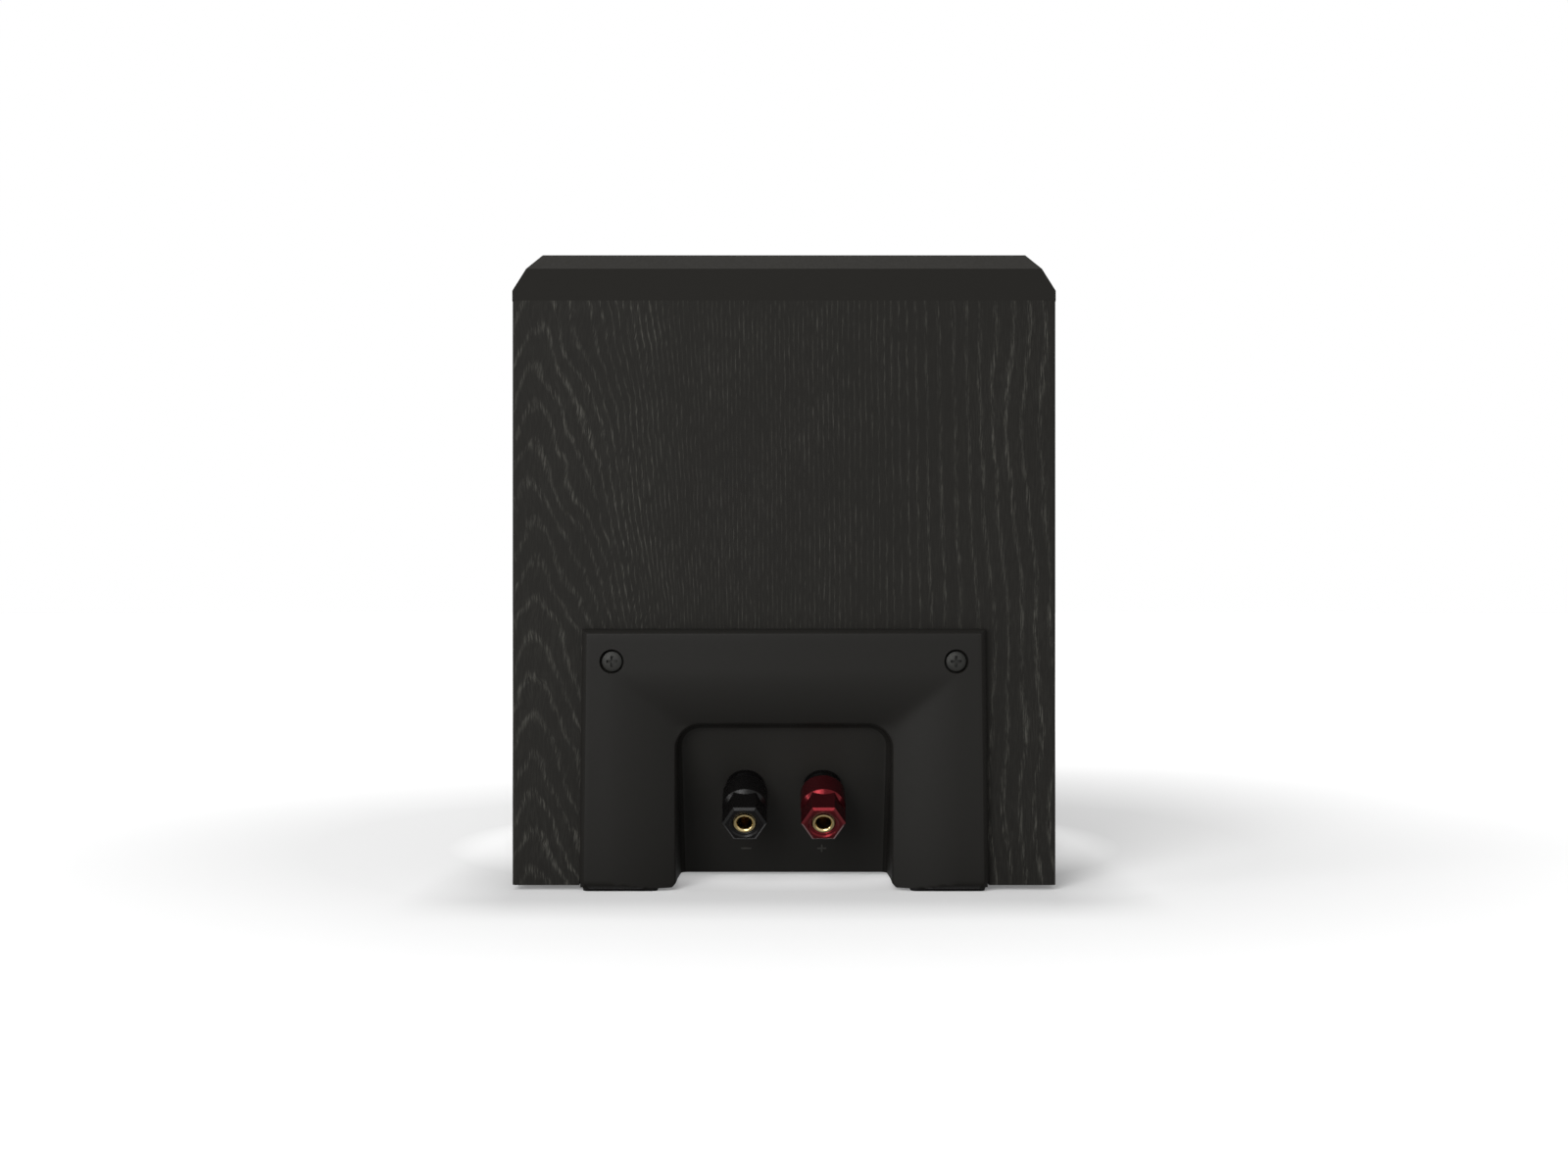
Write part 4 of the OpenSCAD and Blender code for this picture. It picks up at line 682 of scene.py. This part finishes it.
def cross_slots(x, z):
    """Cutters for the two bars of a cross recess."""
    corners = np.array([[-1, -1], [1, -1], [1, 1], [-1, 1], [-1, -1]])
    for size in ([CROSS_L, CROSS_W], [CROSS_W, CROSS_L]):
        loop = corners * (np.array(size) / 2)
        grid = prism(loop, SCREW_SEAT + CROSS_FLOOR, SCREW_SEAT + 2 * HEAD_RISE)
        yield np.stack([grid[..., 0] + x, grid[..., 2], grid[..., 1] + z], -1)


heads = shape("housing_screws", [turned_along_y(x, SCREW_Z, screw_line()) for x in SCREW_X],
              "black_screw", "root", "rear_housing_screws")
for x in SCREW_X:
    for slot_cut in cross_slots(x, SCREW_Z):
        carve(heads, [slot_cut])


# ---------- polarity marks ----------

MARK_RISE, MARK_SINK, MARK_EASE = 0.2, 0.1, 0.08
BAR_L, BAR_W, DASH_L = 2.6, 0.5, 3.0


def bar(across, down):
    """A flat raised bar on the panel below a post, with rounded ends and an eased top edge."""
    half = np.array([across, down]) / 2
    r = half.min()
    a = np.linspace(0, 2 * np.pi, 21)
    edge = np.stack([np.cos(a) * r + np.sign(np.cos(a)) * (half[0] - r),
                     np.sin(a) * r + np.sign(np.sin(a)) * (half[1] - r)], -1)
    rows = []
    for scale, height in ((0.0, -MARK_SINK), (1.0, -MARK_SINK), (1.0, MARK_RISE - MARK_EASE),
                          (0.9, MARK_RISE), (0.0, MARK_RISE)):
        p = edge * scale
        rows.append(np.column_stack([p[:, 0], p[:, 1] + MARK_DOWN, 0 * p[:, 0] + height]))
    return np.array(rows)


for side, word, bars in ((1, "minus", ((DASH_L, BAR_W),)),
                         (-1, "plus", ((BAR_L, BAR_W), (BAR_W, BAR_L)))):
    mark = shape(f"{word}_mark", [to_post(bar(w, h), side) for w, h in bars],
                 "moulded_abs", "root")
    mark.data.materials[0] = MARK


# ---------- binding posts ----------

# Thumb nut: the grip's (height, radius), and what follows its front face inward as
# (radius, height): a ring step, a lip round the stud's neck, the bore and the insert's seat
GRIP = ((3.3, 5.8), (3.4, 6.0), (3.6, 6.14), (3.85, 6.2), (GRIP_END, 6.2), (10.3, 6.15),
        (GRIP_CONE_END, 4.95))
NUT_INSIDE = ((4.2, 18.0), (3.8, 17.6), (3.72, 17.56), (3.5, 17.56), (3.42, 17.52), (3.1, 17.2),
              (3.1, 17.08), (3.35, 17.05), (3.35, 9.3), (4.4, 9.3), (4.4, 3.3), (5.3, 3.3))
# The stud's front as (radius, height): a slimmer neck, an eased edge, a funnel and the socket
STUD_FRONT = ((3.3, 16.9), (2.95, 17.0), (2.95, 17.5), (2.9, 17.62), (2.8, 17.68), (2.68, 17.7),
              (2.5, 17.64), (2.3, 17.5), (2.12, 17.3), (2.03, 17.1), (2.0, 16.8), (2.0, 6.3),
              (0, 6.3))


def nut_grid():
    """Radius over (angle, height): a round grip that ends in a cone, and a hexagon with a small
    bevel in front; the outer one of the two is the surface."""
    z = np.concatenate([
        [h for h, _ in GRIP[:4]], np.linspace(4.4, 9.6, 8),
        np.linspace(GRIP_END, GRIP_CONE_END, 27), np.linspace(12.0, 17.0, 10),
        [17.35, 17.4, 17.45, 17.97, NUT_TOP]])
    a = np.linspace(0, 2 * np.pi, 241)
    bevel = np.interp(z, [NUT_TOP - HEX_BEVEL, NUT_TOP], [0.0, HEX_BEVEL])
    flat = HEX_R * math.cos(math.radians(30)) - bevel
    hexagon = flat[:, None] / np.cos(np.mod(a, np.pi / 3) - np.pi / 6)
    grip = np.where(z <= GRIP_CONE_END, np.interp(z, *np.array(GRIP).T), 0.0)[:, None]
    r = np.maximum(grip, np.where(z[:, None] < GRIP_END, 0.0, hexagon))
    rows = [np.stack([ring * np.cos(a), ring * np.sin(a), 0 * a + h], -1) for ring, h in zip(r, z)]
    rows += [np.stack([radius * np.cos(a), radius * np.sin(a), 0 * a + height], -1)
             for radius, height in NUT_INSIDE]
    return np.array(rows + rows[:1])


def stud_grid():
    """Post stud: tail behind the panel, threaded shank and front. The thread is right-handed:
    the shank's radius loses depth * (1 - cos(2 pi (height / pitch) - angle)) / 2, fading out
    at both ends."""
    steps, fading = 96, 0.8
    a = np.linspace(0, 2 * np.pi, steps + 1)
    height = np.arange(THREAD_LOW, THREAD_TOP + 0.1, 0.1)[:, None]
    fade = np.clip(np.minimum(height - THREAD_LOW, THREAD_TOP - height) / fading, 0, 1)
    turns = 1 - np.cos(2 * np.pi * height / THREAD_PITCH - a)
    radius = STUD_R - THREAD_DEPTH * fade * turns / 2
    thread = np.stack([radius * np.cos(a), radius * np.sin(a), height + 0 * a], -1)
    back = turned([(0, -STUD_TAIL), (STUD_TAIL_R, -STUD_TAIL), (STUD_TAIL_R, 0), (STUD_R, 0)],
                  steps)
    return np.concatenate([back, thread, turned(STUD_FRONT, steps)])


for side, colour in ((1, "black"), (-1, "red")):
    shape(f"{colour}_thumb_nut", [to_post(nut_grid(), side)], f"{colour}_plastic",
          f"{colour}_nut", f"{colour}_post_nut")
    stud = shape(f"{colour}_stud", [to_post(stud_grid(), side)], "gilt_brass",
                 "root", f"{colour}_post_stud")
    drill = turned([(0, -WIRE_HOLE_REACH), (WIRE_HOLE_R, -WIRE_HOLE_REACH),
                    (WIRE_HOLE_R, WIRE_HOLE_REACH), (0, WIRE_HOLE_REACH)], 32)[..., [2, 1, 0]]
    carve(stud, [to_post(drill + [0, 0, WIRE_HOLE_OUT], side)], twisted=True)


# ---------- woofer ----------

def cone_line(t):
    """Cone profile: a straight flank with a little flare towards the rim."""
    return np.stack([FORMER_R + (CONE_R - FORMER_R) * t,
                     NECK_W + (FLANGE_TOP - CONE_T - NECK_W) * (0.8 * t + 0.2 * t ** 2)], -1)


def on_woofer(loop, steps=144):
    """A closed profile turned about the woofer's axis, in object coordinates."""
    return [to_slope(turned(loop, steps), WOOFER_V)]


def copper_cone():
    """Cone between its under side and its upper side."""
    t = np.linspace(0, 1, 33)
    under = cone_line(t)
    over = cone_line(t[:-2][::-1]) + [0, CONE_UPRIGHT]
    loop = np.concatenate([under, [[CONE_R, FLANGE_TOP], [CONE_R - 2, FLANGE_TOP]], over])
    loop = np.concatenate([loop, loop[:1]])
    shape("copper_cone", on_woofer(loop), "copper_cone", "cone", "woofer_cone")


def dust_cap():
    """Cap of a thin ball that sits on the cone."""
    ball = (CAP_R ** 2 + CAP_H ** 2) / 2 / CAP_H
    seat = np.array([(CAP_R - FORMER_R) / (CONE_R - FORMER_R)])
    base = cone_line(seat)[0, 1] + CONE_UPRIGHT
    reach = math.degrees(math.asin(CAP_R / ball))
    centre = (0, base + CAP_H - ball)
    dome = arc(centre, ball, 90 - reach, 90, 20)
    inner = arc(centre, ball - CAP_T, 90, 90 - reach, 20)
    loop = np.concatenate([dome, inner[:-1], [[inner[-1, 0], base]], dome[:1]])
    shape("copper_dust_cap", on_woofer(loop), "copper_cone", "cone", "woofer_dust_cap")


def surround_half(name, outer):
    """Half of the half-round roll with its land; the two halves meet at the roll's top."""
    mid, sign = CONE_R + ROLL_R, 1 if outer else -1
    start, end = (0, 90) if outer else (180, 90)
    top = arc((mid, FLANGE_TOP), ROLL_R, start, end, 16)[3:]
    bottom = arc((mid, FLANGE_TOP), ROLL_R - SURROUND_T, end, start, 16)
    land = mid + sign * (ROLL_R + (LAND_OUT if outer else LAND_IN))
    land_top = FLANGE_TOP + SURROUND_T
    foot = [[mid + sign * (ROLL_R - SURROUND_T), FLANGE_TOP], [land, FLANGE_TOP],
            [land, land_top], [mid + sign * (ROLL_R + 0.45), land_top],
            [mid + sign * (ROLL_R + 0.08), land_top + 0.35]]
    loop = np.concatenate([top, bottom, foot, top[:1]])
    half = shape(name, on_woofer(loop, 160), "surround_rubber", None, "woofer_surround")
    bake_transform(half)


def trim_ring():
    """Soft ring with a crowned face, which hooks over the basket's flange."""
    centre, reach = (TRIM_OUT + TRIM_IN) / 2, (TRIM_OUT - TRIM_IN) / 2
    a = np.radians(np.linspace(0, 180, 29))
    crown = np.stack([centre + reach * np.cos(a),
                      BAFFLE_TOP + TRIM_SHOULDER + TRIM_CROWN * np.sin(a)], -1)
    loop = np.concatenate([
        [[TRIM_OUT - TRIM_SKIRT, TRIM_LOW], [TRIM_OUT, TRIM_LOW]], crown,
        [[TRIM_IN, FLANGE_TOP], [TRIM_IN + TRIM_HOOK, FLANGE_TOP],
         [TRIM_IN + TRIM_HOOK, TRIM_UNDER], [TRIM_OUT - TRIM_SKIRT, TRIM_UNDER],
         [TRIM_OUT - TRIM_SKIRT, TRIM_LOW]]])
    shape("soft_trim_ring", on_woofer(loop, 192), "soft_trim", "root", "woofer_trim_ring")


copper_cone()
dust_cap()
surround_half("surround_outer_half", outer=True)
surround_half("surround_inner_half", outer=False)
trim_ring()


# ---------- horn ----------

def square_ring(half, corner, w, per=26):
    """Closed ring on a square with round corners, at height w."""
    k = np.arange(4 * per + 1) % (4 * per)
    q = k // per
    a = np.pi / 2 * (q + (k % per) / (per - 1))
    sx, sy = np.where((q == 0) | (q == 3), 1, -1), np.where(q < 2, 1, -1)
    return np.column_stack([sx * (half - corner) + corner * np.cos(a),
                            sy * (half - corner) + corner * np.sin(a), 0 * a + w])


def horn_rings():
    """Tractrix horn from a round throat to a square mouth: depth = A ln((A + q) / r) - q with
    q = sqrt(A^2 - r^2), then the flange and a plain outer shell."""
    def level(r):
        r = min(r, MOUTH_HALF - 1e-4)
        q = math.sqrt(MOUTH_HALF ** 2 - r ** 2)
        return BAFFLE_TOP - (MOUTH_HALF * math.log((MOUTH_HALF + q) / r) - q)

    def corner(r):
        f = (r - THROAT_R) / (MOUTH_HALF - THROAT_R)
        return r * (1 - f) + MOUTH_CORNER * f

    throat = math.asin(THROAT_R / MOUTH_HALF)
    rings = [square_ring(THROAT_R, THROAT_R, HORN_BACK)]
    for t in np.linspace(throat, math.pi / 2, 44):
        r = MOUTH_HALF * math.sin(t)
        rings.append(square_ring(r, corner(r), level(r)))
    # A ring just outside the mouth keeps the flat flange flat round its screw holes
    rings.append(square_ring(MOUTH_HALF + 0.5, MOUTH_CORNER + 0.5, BAFFLE_TOP))
    rings.append(square_ring(HORN_HALF - HORN_EASE - 1.5, HORN_CORNER - HORN_EASE, BAFFLE_TOP))
    for a in np.radians(np.linspace(90, 0, 6)):
        rings.append(square_ring(HORN_HALF - HORN_EASE + HORN_EASE * math.cos(a), HORN_CORNER,
                                 BAFFLE_TOP - HORN_EASE + HORN_EASE * math.sin(a)))
    rings.append(square_ring(HORN_HALF, HORN_CORNER, HORN_UNDER))
    for k, t in enumerate(np.linspace(math.radians(55), throat, 9)):
        r = MOUTH_HALF * math.sin(t)
        w = HORN_UNDER if k == 0 else min(level(r), HORN_UNDER) + HORN_WALL * 0.2
        rings.append(square_ring(r + HORN_WALL, corner(r) + HORN_WALL, w))
    for r, w in ((THROAT_R + HORN_WALL, HORN_BACK + MOTOR_FLANGE_T),
                 (MOTOR_FLANGE_R, HORN_BACK + MOTOR_FLANGE_T), (MOTOR_FLANGE_R, HORN_BACK)):
        rings.append(square_ring(r, r, w))
    rings.append(rings[0])
    return np.array(rings)


horn = shape("tractrix_horn", [to_slope(horn_rings(), HORN_V)], "horn_plastic", "root",
             "tweeter_horn")
# Holes for countersunk screws: the flank leaves the face at 45 degrees
sink = turned([(0, 8), (1.45, 8), (1.45, 12.7), (2.95, 14.2), (2.95, 15), (0, 15)], 48)
carve(horn, [to_slope(sink + np.array([x, y, 0]), HORN_V)
             for x in (-HORN_SCREW, HORN_SCREW) for y in (-HORN_SCREW, HORN_SCREW)])


# ---------- solids that stay, with their finishes ----------

def soften_group():
    """Geometry nodes that join the loose triangles and shade them smooth between creases."""
    tree = bpy.data.node_groups.new("smooth_between_creases", "GeometryNodeTree")
    tree.interface.new_socket("Geometry", in_out="INPUT", socket_type="NodeSocketGeometry")
    tree.interface.new_socket("Geometry", in_out="OUTPUT", socket_type="NodeSocketGeometry")
    source = add(tree, "NodeGroupInput")
    joined = add(tree, "GeometryNodeMergeByDistance", {"Geometry": source, "Distance": 2e-6})
    smooth = add(tree, "GeometryNodeSetShadeSmooth", {"Geometry": joined, "Shade Smooth": True})
    bend = add(tree, "GeometryNodeInputMeshEdgeAngle")
    gentle = add(tree, "FunctionNodeCompare", {0: bend, 1: math.radians(SOLID_DEGREES)},
                 data_type="FLOAT", operation="LESS_EQUAL")
    creased = add(tree, "GeometryNodeSetShadeSmooth", {
        "Geometry": smooth, "Shade Smooth": gentle}, domain="EDGE")
    add(tree, "NodeGroupOutput", {0: creased})
    return tree


SMOOTH = soften_group()
VINYL = {"left_side_panel": VINYL_SIDE, "right_side_panel": VINYL_SIDE, "front_panel": VINYL_FRONT,
         "rear_panel": VINYL_BACK, "bottom_panel": VINYL_BOTTOM}

for part in frame["record"]["subparts"]:
    node = frame["nodes"][part["node"]]
    finish = VINYL.get(part["node"]) or FINISHES[part["material_slot"]]
    node.data.materials.clear()
    node.data.materials.append(finish)
    joined = node.modifiers.new("smooth_between_creases", "NODES")
    joined.node_group = SMOOTH


# ---------- floor, light and surroundings ----------

FLOOR_R = 6.0
FILL = 0.38              # level of the surroundings on matt surfaces
GLOW = 0.17              # what the eye sees of the floor beside its lit paper, near the object
PAINTED_LIGHT_UNDER_OBJECT = 0.34      # painted light: the floor glows brighter under the object, lifting the shade that falls there
GLOW_RUN = (0.15, 0.65)  # distances from the middle, in m, over which the glow grows to full
# distances from the middle, in m, over which that painted light under the object fades out
PAINTED_LIGHT_UNDER_RUN = (0.09, 0.125)


def background_rays(tree):
    """1 for rays from the eye, from a glossy surface or through a clear one."""
    seen = add(tree, "ShaderNodeLightPath")
    rays = add(tree, "ShaderNodeMath", {
        0: seen.outputs["Is Camera Ray"], 1: seen.outputs["Is Glossy Ray"]}, operation="MAXIMUM")
    return add(tree, "ShaderNodeMath", {
        0: rays, 1: seen.outputs["Is Transmission Ray"]}, operation="MAXIMUM")


def make_floor():
    """White floor: rings that grow outward from the middle. Under the object it glows brighter, a
    painted light that lifts the shade there.
    """
    a = np.linspace(0, 2 * np.pi, 97)
    r = np.concatenate([[0], np.geomspace(0.05, FLOOR_R, 24)])[:, None] / MM
    rings = np.stack([r * np.cos(a), r * np.sin(a), 0 * r * a], -1)
    floor = put("studio_floor", grid_mesh("studio_floor", [rings], closed=False))
    material = bpy.data.materials.new("white_studio_paper")
    tree = cleared(material)
    paper = add(tree, "ShaderNodeBsdfDiffuse", {"Color": linear("#b6b6b6"), "Roughness": 1.0})
    place = add(tree, "ShaderNodeTexCoord")
    reach = add(tree, "ShaderNodeVectorMath", {0: place.outputs["Object"]}, operation="LENGTH")
    far = add(tree, "ShaderNodeMapRange", {
        "Value": reach.outputs["Value"], "From Min": GLOW_RUN[0], "From Max": GLOW_RUN[1],
        "To Min": GLOW, "To Max": 1.0})
    # painted light: extra glow of the floor under the object, where its shadow falls
    painted_light_under = add(tree, "ShaderNodeMapRange", {
        "Value": reach.outputs["Value"], "From Min": PAINTED_LIGHT_UNDER_RUN[0], "From Max": PAINTED_LIGHT_UNDER_RUN[1],
        "To Min": PAINTED_LIGHT_UNDER_OBJECT, "To Max": 0.0})
    level = add(tree, "ShaderNodeMath", {0: far, 1: painted_light_under}, operation="MAXIMUM")
    shown = add(tree, "ShaderNodeMath", {0: level, 1: background_rays(tree)}, operation="MULTIPLY")
    glow = add(tree, "ShaderNodeEmission", {"Color": (1, 1, 1, 1), "Strength": shown})
    both = add(tree, "ShaderNodeAddShader", {0: paper, 1: glow})
    add(tree, "ShaderNodeOutputMaterial", {"Surface": both})
    floor.data.materials.append(material)


def make_world():
    """White surroundings for the eye and for reflections, and a softer fill on the surfaces."""
    world = bpy.data.worlds.new("white_studio")
    bpy.context.scene.world = world
    tree = cleared(world)
    level = add(tree, "ShaderNodeMapRange", {
        "Value": background_rays(tree), "To Min": FILL, "To Max": 1.0})
    sky = add(tree, "ShaderNodeBackground", {"Color": (1, 1, 1, 1), "Strength": level})
    add(tree, "ShaderNodeOutputWorld", {"Surface": sky})


# Soft boxes: name, place, the point they are turned to, size in m, power in W
LAMPS = (
    ("key_box", (0.47, 1.12, 0.32), (0, 0.1, 0.08), 0.55, 4.4),
    ("high_box", (0.2, 0.98, 0.62), (0, 0.1, 0.05), 0.6, 4.0),
    ("side_box", (1.0, 0.5, 0.14), (0, 0.1, 0.05), 0.3, 2.0),
    ("top_box", (0.0, -0.07, 1.05), (0, 0.08, 0.0), 0.17, 9.5),
)


def lamp(name, place, aim, size, watts):
    """Square soft box at a place, turned to a point."""
    light = bpy.data.lights.new(name, "AREA")
    light.energy, light.size = watts, size
    box = put(name, light)
    box.location = place
    box.rotation_euler = (Vector(aim) - Vector(place)).to_track_quat("-Z", "Y").to_euler()


make_floor()
make_world()
for row in LAMPS:
    lamp(*row)
bpy.context.scene.view_settings.view_transform = "Standard"
